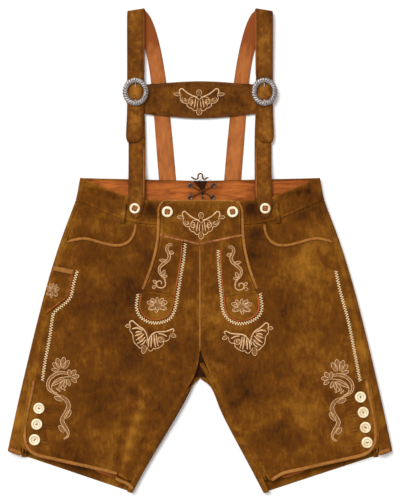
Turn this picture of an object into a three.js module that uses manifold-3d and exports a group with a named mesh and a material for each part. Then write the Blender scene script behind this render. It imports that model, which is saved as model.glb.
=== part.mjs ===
// Lederhosen: short suede breeches with a drop front, pocket piping, a knife pocket,
// a laced back waist and a pair of shoulder straps joined by a chest band.
// They lie flat, front side up, on the plane z = 0. Millimetres, +Y towards the straps, +Z up.

import * as THREE from 'three';
import Module from 'manifold-3d';
import { mergeVertices } from 'three/addons/utils/BufferGeometryUtils.js';

const wasm = await Module();
wasm.setup();

// ---------------------------------------------------------------- driving sizes

const SUEDE = 1.8;            // wall of the main leather
const LINING = 1.0;           // wall of the lining
const SEAM = 0.3;             // gap kept between neighbouring pieces
const HALF = 8;               // half the height of the flattened body
const FOLD = 11;              // reach of the rounded fold along each edge
const BAND_RAISE = 3.8;       // height of the back waistband over the strap ends
const STRAP_WIDTH = 31;
const PIPING = 6;             // width of the piping on pockets and flap
const HEM_PIPING = 7;         // width of the piping on vents and hems
const CENTRE = 0.2;           // half of the gap along the middle line
const UNDER = SUEDE + SEAM;   // depth at which a piece tucks under the leather above it

const CROTCH_Y = -182;        // lowest point of the front centre seam
const BACK_CROTCH_Y = -236;   // lowest point of the back centre seam
const POCKET_X = 118;         // where the pocket edge leaves the waistband seam

// The outer edge of the body and how far in from it the side seam lies.
const OUTLINE = [
  { y: 133, x: 220, seam: 4 },
  { y: 92, x: 228, seam: 5 },
  { y: 34, x: 250, seam: 8 },
  { y: -32, x: 272, seam: 11 },
  { y: -120, x: 296, seam: 14 },
  { y: -230, x: 322.5, seam: 17 },
  { y: -295, x: 337.5, seam: 21 },
  { y: -340, x: 347, seam: 24 },
  { y: -367, x: 353, seam: 25 },
];

// The inner edge of each leg, and how far in from it the inseam lies on the front.
const INSIDE = [
  { y: -182, left: 0.2, right: 0.2, seam: 0 },
  { y: -215, left: 2, right: 11, seam: 2 },
  { y: -240, left: 9, right: 18, seam: 6 },
  { y: -256, left: 17, right: 24, seam: 10 },
  { y: -274, left: 26, right: 30, seam: 12 },
  { y: -296, left: 38, right: 38, seam: 15 },
  { y: -340, left: 64, right: 61, seam: 17 },
  { y: -383, left: 90, right: 84, seam: 17 },
  { y: -427, left: 116, right: 108, seam: 15 },
  { y: -446, left: 124, right: 117, seam: 13 },
];

// Soft folds that stand up from the front: their two ends, height and half width.
const RIDGES = [
  { x1: -110, y1: -237, x2: -148, y2: -412, height: 5, reach: 9 },
  { x1: -196, y1: -60, x2: -222, y2: -330, height: 1.6, reach: 24 },
  { x1: 40, y1: -208, x2: 156, y2: -152, height: 1.8, reach: 14 },
  { x1: -36, y1: -204, x2: -150, y2: -150, height: 1.6, reach: 14 },
  { x1: 150, y1: -250, x2: 176, y2: -400, height: 2.2, reach: 18 },
  { x1: 205, y1: -40, x2: 238, y2: -300, height: 1.5, reach: 26 },
  { x1: 84, y1: -300, x2: 118, y2: -400, height: 1.6, reach: 12 },
];

const COLOURS = {
  suede: 0x6d4412, lining: 0xa9653a, piping: 0x9a6734, strapInner: 0xb06a3c,
  dark: 0x3a2210, horn: 0xf2e3bd, silver: 0x98928e, lace: 0x4a2a12,
};
const materials = {
  suede: new THREE.MeshStandardMaterial({ color: COLOURS.suede, roughness: 0.95, metalness: 0 }),
  lining: new THREE.MeshStandardMaterial({ color: COLOURS.lining, roughness: 0.8, metalness: 0 }),
  piping: new THREE.MeshStandardMaterial({ color: COLOURS.piping, roughness: 0.85, metalness: 0 }),
  dark: new THREE.MeshStandardMaterial({ color: COLOURS.dark, roughness: 0.9, metalness: 0 }),
  horn: new THREE.MeshStandardMaterial({ color: COLOURS.horn, roughness: 0.35, metalness: 0 }),
  silver: new THREE.MeshStandardMaterial({ color: COLOURS.silver, roughness: 0.4, metalness: 1 }),
  lace: new THREE.MeshStandardMaterial({ color: COLOURS.lace, roughness: 0.8, metalness: 0 }),
};

const lederhosen = new THREE.Group();

// ---------------------------------------------------------------- numbers and lines

const clamp01 = (t) => Math.min(1, Math.max(0, t));
const mix = (a, b, t) => a + (b - a) * t;
const smooth = (from, to, value) => {
  const t = clamp01((value - from) / (to - from));
  return t * t * (3 - 2 * t);
};
const steps = (count) => Array.from({ length: count + 1 }, (_, i) => i / count);
const point = (x, y, z) => new THREE.Vector3(x, y, z);

// A column of a table whose rows run down in y, read smoothly at any y.
function readTable(table, column, y) {
  const last = table.length - 1;
  if (y >= table[0].y) return table[0][column];
  if (y <= table[last].y) return table[last][column];
  const i = table.findIndex((row) => row.y <= y) - 1;
  const slope = (k) => {
    const a = table[Math.max(0, k - 1)];
    const b = table[Math.min(last, k + 1)];
    return (b[column] - a[column]) / (b.y - a.y);
  };
  const a = table[i];
  const b = table[i + 1];
  const step = b.y - a.y;
  const t = (y - a.y) / step;
  const t2 = t * t;
  const t3 = t2 * t;
  return (2 * t3 - 3 * t2 + 1) * a[column] + (t3 - 2 * t2 + t) * step * slope(i)
    + (3 * t2 - 2 * t3) * b[column] + (t3 - t2) * step * slope(i + 1);
}

// A smooth line through plan points [x, y], read by its share of length.
function line(points) {
  const curve = new THREE.CatmullRomCurve3(
    points.map(([x, y]) => point(x, y, 0)), false, 'centripetal');
  return (t) => {
    const p = curve.getPointAt(clamp01(t));
    return [p.x, p.y];
  };
}

// Two lines end to end; the first takes the given share of the whole.
const joinLines = (first, second, share) => (t) => (
  t < share ? first(t / share) : second((t - share) / (1 - share)));

// ---------------------------------------------------------------- the body's shape

const outerX = (y) => readTable(OUTLINE, 'x', y);
const sideSeam = (y) => readTable(OUTLINE, 'seam', y);
const innerX = (side, y) => readTable(INSIDE, side < 0 ? 'left' : 'right', y);
const inseamX = (side, y) => innerX(side, y) + readTable(INSIDE, 'seam', y);

// The rounding of a folded edge: 0 on the edge, 1 once the leather lies flat.
const rounding = (depth) => {
  const t = clamp01(depth / FOLD);
  return Math.sqrt(1 - (1 - t) * (1 - t));
};

function ridgeHeight(x, y) {
  let height = 0;
  for (const ridge of RIDGES) {
    const dx = ridge.x2 - ridge.x1;
    const dy = ridge.y2 - ridge.y1;
    const length = Math.hypot(dx, dy);
    const along = ((x - ridge.x1) * dx + (y - ridge.y1) * dy) / (length * length);
    const across = Math.abs((x - ridge.x1) * dy - (y - ridge.y1) * dx) / length;
    const fade = smooth(-0.15, 0.25, along) * (1 - smooth(0.95, 1.15, along));
    height += ridge.height * fade * Math.exp(-((across / ridge.reach) ** 2));
  }
  return height;
}

const OUTLINE_COS = 0.96;   // turns a level distance into one square to the outer edge
const INSIDE_COS = 0.86;    // and to the inner edge

// Height of the outside of the front, anywhere in plan.
function frontHeight(x, y) {
  const side = Math.sign(x) || 1;
  const outer = rounding((outerX(y) - Math.abs(x)) * OUTLINE_COS);
  const inner = rounding((Math.abs(x) - innerX(side, y)) * INSIDE_COS);
  const closing = smooth(CROTCH_Y, CROTCH_Y - 66, y);
  const flat = outer * mix(1, inner, closing);
  return HALF + HALF * flat + ridgeHeight(x, y) * flat;
}

// How far the back is lifted near the waist, over the ends of the straps.
const backRaise = (x, y) => BAND_RAISE * smooth(62, 84, y);

// ---------------------------------------------------------------- solids

function closedGeometry(vertices, triangles) {
  const at = (k) => vertices[k];
  let volume = 0;
  for (const [a, b, c] of triangles) volume += at(a).dot(at(b).clone().cross(at(c)));
  const index = triangles.flatMap(([a, b, c]) => (volume < 0 ? [a, c, b] : [a, b, c]));
  const geometry = new THREE.BufferGeometry();
  geometry.setAttribute('position', new THREE.Float32BufferAttribute(
    vertices.flatMap((v) => [v.x, v.y, v.z]), 3));
  geometry.setIndex(index);
  geometry.computeVertexNormals();
  return geometry;
}

function add(name, geometry, material) {
  const mesh = new THREE.Mesh(geometry, material);
  mesh.name = name;
  lederhosen.add(mesh);
  return mesh;
}

// A wall between two grids of points, closed around its rim.
function wall(front, back) {
  const rows = front.length;
  const columns = front[0].length;
  const vertices = [...front.flat(), ...back.flat()];
  const outside = (i, j) => i * columns + j;
  const inside = (i, j) => rows * columns + outside(i, j);
  const triangles = [];
  const quad = (a, b, c, d) => triangles.push([a, b, c], [a, c, d]);
  for (let i = 0; i + 1 < rows; i += 1) {
    for (let j = 0; j + 1 < columns; j += 1) {
      quad(outside(i, j), outside(i, j + 1), outside(i + 1, j + 1), outside(i + 1, j));
      quad(inside(i, j), inside(i + 1, j), inside(i + 1, j + 1), inside(i, j + 1));
    }
  }
  const rim = [];
  for (let j = 0; j + 1 < columns; j += 1) rim.push([0, j]);
  for (let i = 0; i + 1 < rows; i += 1) rim.push([i, columns - 1]);
  for (let j = columns - 1; j > 0; j -= 1) rim.push([rows - 1, j]);
  for (let i = rows - 1; i > 0; i -= 1) rim.push([i, 0]);
  rim.forEach(([i, j], k) => {
    const [m, n] = rim[(k + 1) % rim.length];
    quad(outside(i, j), inside(i, j), inside(m, n), outside(m, n));
  });
  return closedGeometry(vertices, triangles);
}

// A flat-lying piece: four plan edges are spanned, and the height follows the body.
function patch(edges, rows, columns, lift, thickness, height = frontHeight) {
  const { top, bottom, inner, outer } = edges;
  const plan = rows.map((v) => columns.map((u) => [0, 1].map((axis) => (
    mix(top(u)[axis], bottom(u)[axis], v) + mix(inner(v)[axis], outer(v)[axis], u)
    - mix(mix(top(0)[axis], top(1)[axis], u), mix(bottom(0)[axis], bottom(1)[axis], u), v)
  ))));
  const layer = (offset) => plan.map((row) => row.map(([x, y]) => (
    point(x, y, height(x, y) + lift + offset))));
  return wall(layer(thickness), layer(0));
}

// A bar swept along stations { at, side, up } with a convex section of [side, up] pairs.
function sweep(stations, sectionAt) {
  const sections = stations.map((station, i) => sectionAt(i / (stations.length - 1)).map(
    ([s, u]) => station.at.clone().addScaledVector(station.side, s).addScaledVector(station.up, u)));
  const count = sections[0].length;
  const vertices = sections.flat();
  const triangles = [];
  for (let i = 0; i + 1 < sections.length; i += 1) {
    for (let j = 0; j < count; j += 1) {
      const next = (j + 1) % count;
      const a = i * count + j;
      const b = i * count + next;
      triangles.push([a, b, b + count], [a, b + count, a + count]);
    }
  }
  const last = (sections.length - 1) * count;
  for (let j = 1; j + 1 < count; j += 1) {
    triangles.push([0, j + 1, j], [last, last + j, last + j + 1]);
  }
  return closedGeometry(vertices, triangles);
}

// Stations along a plan line that lies on the body, a little above it.
function stationsOnBody(route, count, lift) {
  return steps(count).map((t) => {
    const [x, y] = route(t);
    const [ax, ay] = route(t - 0.004);
    const [bx, by] = route(t + 0.004);
    const side = point(-(by - ay), bx - ax, 0).normalize();
    return { at: point(x, y, frontHeight(x, y) + lift), side, up: point(0, 0, 1) };
  });
}

// Piping: a rounded bead with a flat underside.
const beadSection = (width, height) => () => [
  [-0.5, 0], [-0.42, 0.55], [-0.2, 0.95], [0.2, 0.95], [0.42, 0.55], [0.5, 0],
].map(([s, u]) => [s * width, u * height]);

const bead = (points, count, width, height, lift = SEAM) => (
  sweep(stationsOnBody(line(points), count, lift), beadSection(width, height)));

// A solid of revolution about +Z from [radius, height] pairs, stood at a place.
function turned(profile, segments, place, stretch = 1) {
  const geometry = new THREE.LatheGeometry(
    profile.map(([r, z]) => new THREE.Vector2(r, z)), segments);
  geometry.rotateX(Math.PI / 2);
  geometry.scale(1, stretch, 1);
  geometry.translate(place.x, place.y, place.z);
  return geometry;
}

const solidOf = (geometry) => {
  const bare = geometry.clone();
  bare.deleteAttribute('normal');
  bare.deleteAttribute('uv');
  const merged = mergeVertices(bare, 1e-4);
  return new wasm.Manifold(new wasm.Mesh({
    numProp: 3,
    vertProperties: merged.attributes.position.array,
    triVerts: new Uint32Array(merged.index.array),
  }));
};

// A piece with round holes punched straight down through it.
function punched(geometry, centres, radius) {
  let solid = solidOf(geometry);
  for (const [x, y] of centres) {
    const punch = new THREE.CylinderGeometry(radius, radius, 40, 12);
    punch.rotateX(Math.PI / 2);
    punch.translate(x, y, 0);
    solid = solid.subtract(solidOf(punch));
  }
  const mesh = solid.getMesh();
  const result = new THREE.BufferGeometry();
  result.setAttribute('position', new THREE.BufferAttribute(mesh.vertProperties, 3));
  result.setIndex(new THREE.BufferAttribute(mesh.triVerts, 1));
  result.computeVertexNormals();
  return result;
}

const SIDES = [{ name: 'left', sign: -1 }, { name: 'right', sign: 1 }];
const mirrored = (sign, points) => points.map(([x, y]) => [x * sign, y]);

// ---------------------------------------------------------------- back panels

// One row of a back panel runs from the outer edge to the middle or to the inner edge.
// It starts on the front at the side seam, turns under the outer fold, crosses the
// floor, and below the crotch turns up round the inner fold to the inseam.
const WRAP_STEPS = 4;
const FLOOR_STEPS = 4;
const UNWRAPPED = 14;   // floor length that holds the inner steps where there is no fold

function backSection(row) {
  const [ax, ay] = row.outer;
  const [bx, by] = row.inner;
  const length = Math.hypot(bx - ax, by - ay);
  const at = (s) => [mix(ax, bx, s / length), mix(ay, by, s / length)];
  // How far along the row its two ends on the front lie, a level distance inside each edge.
  let seamReach = row.seam;
  let inseamReach = row.wraps;
  for (let k = 0; k < 6; k += 1) {
    const [x, y] = at(seamReach);
    seamReach += row.seam - (outerX(y) - Math.abs(x));
    const [u, v] = at(length - inseamReach);
    if (row.wraps) inseamReach += row.wraps - (Math.abs(u) - innerX(Math.sign(u), v));
  }
  const flat = [];
  for (let j = 0; j <= WRAP_STEPS; j += 1) {
    const s = seamReach * (1 - j / WRAP_STEPS) ** 2;
    flat.push([s, HALF + HALF * rounding(s)]);
  }
  for (let j = 1; j <= WRAP_STEPS; j += 1) {
    const s = FOLD * (j / WRAP_STEPS) ** 2;
    flat.push([s, HALF - HALF * rounding(s)]);
  }
  const innerReach = row.wraps ? FOLD : UNWRAPPED;
  for (let j = 1; j <= FLOOR_STEPS; j += 1) {
    flat.push([mix(FOLD, length - innerReach, j / FLOOR_STEPS), 0]);
  }
  for (let j = 1; j <= WRAP_STEPS; j += 1) {
    const s = row.wraps ? FOLD * (1 - j / WRAP_STEPS) ** 2 : UNWRAPPED * (1 - j / (2 * WRAP_STEPS));
    flat.push([length - s, row.wraps ? HALF - HALF * rounding(s) : 0]);
  }
  for (let j = 1; j <= WRAP_STEPS; j += 1) {
    const s = row.wraps ? inseamReach * (j / WRAP_STEPS) ** 2
      : UNWRAPPED * (0.5 - j / (2 * WRAP_STEPS));
    flat.push([length - s, row.wraps ? HALF + HALF * rounding(s) : 0]);
  }
  const inward = flat.map((p, k) => {
    if (k === 0) return [0, -1];
    if (k === flat.length - 1) return [0, row.wraps ? -1 : 1];
    const before = flat[Math.max(0, k - 1)];
    const after = flat[Math.min(flat.length - 1, k + 1)];
    const size = Math.hypot(after[0] - before[0], after[1] - before[1]);
    return [-(after[1] - before[1]) / size, (after[0] - before[0]) / size];
  });
  const place = ([s, z]) => {
    const [x, y] = at(s);
    return point(x, y, z + backRaise(x, y) * Math.max(0, 1 - z / HALF));
  };
  return {
    outside: flat.map(place),
    inside: flat.map(([s, z], k) => place([s + inward[k][0] * SUEDE, z + inward[k][1] * SUEDE])),
  };
}

function backPanel(rows) {
  const sections = rows.map(backSection);
  return wall(sections.map((s) => s.outside), sections.map((s) => s.inside));
}

const SIDE_GAP = 0.8;     // gaps where the back meets the front, wide enough for
const INSEAM_GAP = 1.6;   // straight facets on both sides of a curved seam

// Rows of the back panels, as the y of the outer and the inner end of each.
const BACK_ROWS = [
  { outer: 91.7, inner: 85.7 }, { outer: 68, inner: 62 }, { outer: 34, inner: 24 },
  { outer: -10, inner: -30 }, { outer: -60, inner: -90 }, { outer: -110, inner: -150 },
  { outer: -158, inner: -206 }, { outer: -180, inner: BACK_CROTCH_Y },
  { outer: -194, inner: -256 }, { outer: -208, inner: -274 }, { outer: -226, inner: -296 },
  { outer: -262, inner: -330 }, { outer: -298, inner: -366 }, { outer: -334, inner: -406 },
  { outer: -367, inner: -444.5 },
];

for (const { name, sign } of SIDES) {
  const rows = BACK_ROWS.map(({ outer, inner }) => {
    const wraps = inner < BACK_CROTCH_Y;
    return {
      outer: [sign * outerX(outer), outer],
      inner: [sign * (wraps ? innerX(sign, inner) : CENTRE), inner],
      seam: sideSeam(outer) - SIDE_GAP,
      wraps: wraps ? readTable(INSIDE, 'seam', inner) - INSEAM_GAP : 0,
    };
  });
  add(`back_${name}`, backPanel(rows), materials.suede);
}

// ---------------------------------------------------------------- front panels

// The seam between the front waistband and the leg, and the pocket edge below it.
const BAND_SEAM = [[66, 47.4], [90, 48], [111, 50], [145, 59], [169, 68], [201, 83], [222.6, 92]];
const BAND_TOP = [[66, 90.6], [92, 91.5], [130, 97], [159, 109], [186, 119], [215.6, 133]];
const POCKET_EDGE = [
  [POCKET_X, 50], [120.5, 34], [128, 20], [140, 12], [154, 10.5], [171, 13],
  [192, 19], [210, 23.5], [228, 21.5], [247.4, 15],
];
const VENT_TOP_Y = -238;
const VENT_CORNER = [302, -373];
const VENT_EDGE = [[304.5, VENT_TOP_Y], [311, -270], [318, -300], [322, -331], [320.5, -351],
  [313.5, -365], VENT_CORNER];
const HEM_EDGE = [VENT_CORNER, [270, -381], [226, -391], [190, -399], [152, -408], [131, -421]];

const lowered = (points, drop) => points.map(([x, y]) => [x, y - drop]);

const TOP_SHARE = 0.42;
const FRONT_COLUMNS = [0, 0.1, 0.2, 0.31, TOP_SHARE, 0.47, 0.54, 0.63, 0.72, 0.82, 0.91, 1];
const FRONT_ROWS = steps(20);
const RISE_SHARE = 0.45;      // rows that follow the centre seam; the rest follow the inseam

for (const { name, sign } of SIDES) {
  const seamYs = [12, -40, -100, -170];
  const side = [POCKET_EDGE.at(-1), ...seamYs.map((y) => [outerX(y) - sideSeam(y), y]), ...VENT_EDGE];
  const inseamYs = [-192, -215, -240, -265, -311, -367, -395];
  const centreSeam = [[CENTRE, 46.6], [CENTRE, CROTCH_Y]];
  const inseam = [
    [CENTRE, CROTCH_Y], ...inseamYs.map((y) => [inseamX(sign, y), y]), HEM_EDGE.at(-1)];
  const straightTop = [[CENTRE, 46.6], [66, 46.7], [90, 46.8], [POCKET_X, 50]];
  const edges = {
    top: joinLines(line(mirrored(sign, straightTop)), line(mirrored(sign, POCKET_EDGE)), TOP_SHARE),
    bottom: line(mirrored(sign, [...HEM_EDGE].reverse())),
    inner: joinLines(line(mirrored(sign, centreSeam)), line(mirrored(sign, inseam)), RISE_SHARE),
    outer: line(mirrored(sign, side)),
  };
  add(`front_${name}`, patch(edges, FRONT_ROWS, FRONT_COLUMNS, -SUEDE, SUEDE), materials.suede);

  const facing = {
    top: line(mirrored(sign, lowered(BAND_SEAM.slice(2), -4).map(([x, y]) => [x - 1.5, y]))),
    bottom: line(mirrored(sign, lowered(POCKET_EDGE.slice(1), 8).map(([x, y]) => [x - 1.5, y]))),
    inner: line(mirrored(sign, [[109.5, 54], [112, 40], [119, 26]])),
    outer: line(mirrored(sign, [[221.1, 96], [245.9, 7]])),
  };
  const facingTop = -UNDER - LINING;
  add(`pocket_facing_${name}`, patch(facing, steps(4), steps(9), facingTop, LINING), materials.suede);
  const pipingLine = mirrored(sign, POCKET_EDGE.map(([x, y]) => [x - 0.6, y - 1.5]).slice(0, -1));
  pipingLine.push([sign * 243.5, 15.2]);
  add(`pocket_piping_${name}`, bead(pipingLine, 18, PIPING, 3), materials.piping);
}

// The fold of back leather that shows between the legs below the front centre seam.
{
  const reach = 3;
  const ys = [-178, -192, -205, -216, -226, -233];
  const rows = ys.map((y) => steps(4).map((u) => {
    const x = mix(-inseamX(-1, y) - reach, inseamX(1, y) + reach, u);
    const high = Math.min(frontHeight(x, y), 2 * HALF) - UNDER - 0.3;
    return point(x, y, mix(high, UNDER + LINING + SEAM, smooth(-194, -233, y)));
  }));
  const under = rows.map((row) => row.map((p) => point(p.x, p.y, p.z - LINING)));
  add('crotch_fold', wall(rows, under), materials.dark);
}

// ---------------------------------------------------------------- waist

for (const { name, sign } of SIDES) {
  const band = {
    top: line(mirrored(sign, BAND_TOP)),
    bottom: line(mirrored(sign, BAND_SEAM)),
    inner: line(mirrored(sign, [BAND_TOP[0], BAND_SEAM[0]])),
    outer: line(mirrored(sign, [BAND_TOP.at(-1), BAND_SEAM.at(-1)])),
  };
  add(`waistband_front_${name}`, patch(band, steps(4), steps(10), -SUEDE, SUEDE), materials.suede);
}

// The back waistband opens in a notch at the middle, and narrows to a slit.
const NOTCH = [
  { y: 128, left: 14, right: 14 },
  { y: 119, left: 5.2, right: 10.6 },
  { y: 110, left: -3.4, right: 7.2 },
  { y: 98, left: -4.6, right: 6.2 },
  { y: 86, left: -4.8, right: 5.8 },
];
const EYELETS = [[-17.4, 119], [24.2, 119], [-17.4, 97.6], [23.2, 97.6]];
const EYELET_HOLE = 2.8;
const LINING_TOP_Y = 127;
const LINING_LOW_Y = 80;
const bandTopY = 133;

for (const { name, sign } of SIDES) {
  const rows = NOTCH.map((notch, i) => {
    const y = mix(bandTopY, 92, i / (NOTCH.length - 1));
    return {
      outer: [sign * outerX(y), y],
      inner: [sign * notch[name], notch.y],
      seam: sideSeam(y) - SEAM,
      wraps: 0,
    };
  });
  const holes = EYELETS.filter(([x]) => Math.sign(x) === sign);
  add(`waistband_back_${name}`, punched(backPanel(rows), holes, EYELET_HOLE), materials.suede);

  const lowEnd = [sign * (Math.abs(NOTCH.at(-1)[name]) + 1), LINING_LOW_Y];
  const notchSide = [...NOTCH.map((n) => [sign * (n[name] + 0.4), n.y - 1]), lowEnd];
  const lining = {
    top: line([notchSide[0], [sign * 77, 127], [sign * 183, 129], [sign * 205, 130.5]]),
    bottom: line([lowEnd, [sign * 120, LINING_LOW_Y + 2], [sign * 214, LINING_LOW_Y + 6]]),
    inner: line(notchSide),
    outer: line([[sign * 205, 130.5], [sign * 214, LINING_LOW_Y + 6]]),
  };
  const liningColumns = [0, 0.03, 0.07, 0.12, 0.2, 0.3, 0.42, 0.54, 0.66, 0.76, 0.86, 0.94, 1];
  const sheet = patch(lining, steps(5), liningColumns, SUEDE + SEAM, LINING, backRaise);
  add(`waistband_lining_${name}`, punched(sheet, holes, EYELET_HOLE), materials.lining);
}

// The tongue behind the laced notch lies on the floor, under the waistband.
{
  const tongue = new THREE.Shape();
  tongue.moveTo(-8, 103);
  tongue.lineTo(13, 103);
  tongue.lineTo(19, 127);
  tongue.quadraticCurveTo(1, 129.5, -19, 127);
  tongue.closePath();
  const geometry = new THREE.ExtrudeGeometry(
    tongue, { depth: 1.6, bevelEnabled: false, curveSegments: 6 });
  add('back_tongue', geometry, materials.dark);
}

const EYELET_BASE = BAND_RAISE + SUEDE + SEAM + LINING + SEAM;
const EYELET_NAMES = ['top_left', 'top_right', 'low_left', 'low_right'];
const eyeletRing = [[2.6, 0], [4.6, 0], [4.6, 0.5], [3.6, 1], [2.6, 0.7], [2.6, 0]];
EYELETS.forEach(([x, y], i) => {
  add(`eyelet_${EYELET_NAMES[i]}`, turned(eyeletRing, 14, point(x, y, EYELET_BASE)), materials.silver);
});

// ---------------------------------------------------------------- lace

const LACE = 2.8;
const laceSection = new THREE.Shape(steps(7).map((_, i) => new THREE.Vector2(
  Math.cos((i / 8) * 2 * Math.PI), Math.sin((i / 8) * 2 * Math.PI)).multiplyScalar(LACE / 2)));

function cord(route, count) {
  const path = new THREE.CatmullRomCurve3(route.map(([x, y, z]) => point(x, y, z)));
  return new THREE.ExtrudeGeometry(laceSection, { steps: count, extrudePath: path, bevelEnabled: false });
}

// From the upper left eyelet the lace crosses down, passes behind, and crosses up again.
const LACE_ROUTE = [
  [-23.5, 120.6, 1.8], [-19.4, 119.7, 1.9], [-17.4, 119, 3.8], [-17.4, 119, 6.6],
  [-16.2, 118.4, 9.4], [-13, 116.7, 10.2], [-7, 113.5, 10.4], [3, 108.2, 9.2], [13, 103, 10.4],
  [19.6, 99.6, 10.2], [22.3, 98.1, 9.4], [23.2, 97.6, 6.6], [23.2, 97.6, 3.8],
  [20.8, 97.5, 1.9], [12, 97.4, 1.8], [-5, 97.4, 1.8], [-15, 97.5, 1.9], [-17.4, 97.6, 3.8],
  [-17.4, 97.6, 6.6], [-16.4, 98.1, 9.4], [-13.4, 99.6, 10.2], [-6, 103.4, 11.2],
  [3, 108.2, 12.6], [13, 113.4, 11.2], [20, 116.9, 10.2], [23.2, 118.5, 9.4],
  [24.2, 119, 6.6], [24.2, 119, 3.8], [26.2, 119.7, 1.9], [30.2, 120.6, 1.8],
];
add('lace', cord(LACE_ROUTE, 64), materials.lace);

// The lace is tied off over the notch: two short ends and one small loop between them.
const LACE_BOW_ROUTE = [
  [-16, 135, 9.4], [-12.5, 132.4, 9.2], [-8, 130.6, 9], [-4.2, 131.6, 9], [-3.6, 135, 9.2],
  [-3.2, 138.6, 9.5], [0.6, 141.2, 9.6], [4.4, 138.6, 9.5], [4.8, 135, 9.2],
  [5.6, 131.6, 9], [8.6, 130.4, 9], [12, 132.6, 9.2], [15.6, 133.6, 9.4],
];
add('lace_bow', cord(LACE_BOW_ROUTE, 34), materials.lace);

// ---------------------------------------------------------------- drop front

const YOKE_SEAM = [[0, 13], [27, 18], [49, 24], [72, 28]];
const FLAP_LIFT = 0.6;        // clearance of the drop front over the leather below it

// The right edge of the drop front stands a little further out than the left one.
const flapEdge = (sign, points) => points.map(([x, y]) => (
  [sign * (x + (sign > 0 ? 2 * smooth(-50, 25, y) : 0)), y]));

{
  const seam = [...mirrored(-1, YOKE_SEAM).reverse(), ...YOKE_SEAM.slice(1)];
  const yoke = {
    top: line([[-71.5, 72], [-69.5, 82], [-62, 88.5], [-48, 90], [0, 90.6],
      [50, 90], [64, 88], [71.5, 82], [73.5, 72]]),
    bottom: line([...seam.slice(0, -1), [73.8, 28.2]].map(([x, y]) => [x, y + SEAM])),
    inner: line([[-71.5, 72], [-72, 50], [-72, 28.3]]),
    outer: line([[73.5, 72], [74, 50], [73.8, 28.5]]),
  };
  add('flap_yoke', patch(yoke, steps(7), steps(16), FLAP_LIFT, SUEDE), materials.suede);
}

const FOOT_SEAM = [[101, -72], [80, -76], [47, -83]];
for (const { name, sign } of SIDES) {
  const strip = {
    top: line([...mirrored(sign, [[30, 18.4], [49, 23.6]]), ...flapEdge(sign, [[72, 27.6]])]),
    bottom: line(mirrored(sign, [...FOOT_SEAM].reverse().map(([x, y]) => [x, y + SEAM]))),
    inner: line(mirrored(sign, [[30, 18.4], [34, -17], [40, -58], [47, -82.7]])),
    outer: line(flapEdge(sign, [[72, 27.6], [75.5, 4], [83, -24], [93, -52], [101, -71.7]])),
  };
  add(`flap_strip_${name}`, patch(strip, steps(9), steps(4), FLAP_LIFT, SUEDE), materials.suede);

  const foot = {
    top: line(mirrored(sign, [...FOOT_SEAM].reverse().map(([x, y]) => [x, y - SEAM]))),
    bottom: line(mirrored(sign, [[53, -114], [62, -123], [80, -128], [98, -123], [108, -113]])),
    inner: line(mirrored(sign, [[47, -83.3], [49, -100], [53, -114]])),
    outer: line(mirrored(sign, [[101, -72.3], [110, -90], [111, -103], [108, -113]])),
  };
  add(`flap_foot_${name}`, patch(foot, steps(5), steps(6), FLAP_LIFT, SUEDE), materials.suede);

  const edging = flapEdge(sign, [[75.5, 70], [76, 50], [76.5, 30], [80, 4], [87.5, -25],
    [97, -52], [105, -72]]);
  add(`flap_piping_${name}`, bead(edging, 16, PIPING, 3), materials.piping);
}

add('centre_seam_piping', bead([[0, 8], [0, -60], [0, -120], [0, CROTCH_Y - 3]], 12, 3.2, 1.8),
  materials.piping);

// ---------------------------------------------------------------- vents and hems

{
  const left = mirrored(-1, [...VENT_EDGE, ...HEM_EDGE.slice(1, -1)].map(([x, y]) => [x - 1.5, y + 1]));
  add('hem_piping_left', bead(left, 34, HEM_PIPING, 3.4), materials.piping);
  const leftEnd = [[-154, -415.5], [-143, -421.5], [-131, -426.5], [-122.5, -436]];
  const endStations = stationsOnBody(line(leftEnd), 6, SEAM);
  endStations.forEach((station) => { station.at.z = Math.max(station.at.z, 2 * HALF); });
  add('hem_piping_left_end', sweep(endStations, beadSection(HEM_PIPING, 3.4)), materials.piping);
  const right = [...VENT_EDGE, ...HEM_EDGE.slice(1)].map(([x, y]) => [x - 1, y + 1]);
  add('hem_piping_right', bead(right, 40, HEM_PIPING, 3.4), materials.piping);
}

for (const { name, sign } of SIDES) {
  const binding = {
    top: line(mirrored(sign, [[327, -366.5], [347, -360]])),
    bottom: line(mirrored(sign, [[325, -374.5], [348.5, -367.2]])),
    inner: line(mirrored(sign, [[327, -366.5], [325, -374.5]])),
    outer: line(mirrored(sign, [[347, -360], [348.5, -367.2]])),
  };
  add(`back_hem_binding_${name}`, patch(binding, steps(1), steps(4), 0.5, LINING), materials.piping);
}

// ---------------------------------------------------------------- knife pocket and loops

const POCKET_LIFT = 0.7;

{
  const pocket = {
    top: line([[-267.5, -29], [-231, -37]]),
    bottom: line([[-288.5, -103], [-286, -112], [-282, -116.5], [-264, -102], [-243, -86]]),
    inner: line([[-267.5, -29], [-278, -66], [-288.5, -103]]),
    outer: line([[-231, -37], [-237, -61], [-243, -86]]),
  };
  const pocketColumns = [0, 0.06, 0.14, 0.25, 0.45, 0.7, 1];
  const pocketSheet = patch(pocket, steps(6), pocketColumns, POCKET_LIFT, SUEDE);
  add('knife_pocket', pocketSheet, materials.suede);
  const binding = {
    top: line([[-267.4, -27.2], [-230.2, -35.2]]),
    bottom: line([[-269.6, -36], [-232.4, -44]]),
    inner: line([[-267.4, -27.2], [-269.6, -36]]),
    outer: line([[-230.2, -35.2], [-232.4, -44]]),
  };
  const bindingSheet = patch(binding, steps(1), steps(6), POCKET_LIFT + UNDER + SEAM, LINING);
  add('knife_pocket_binding', bindingSheet, materials.piping);
}

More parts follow.
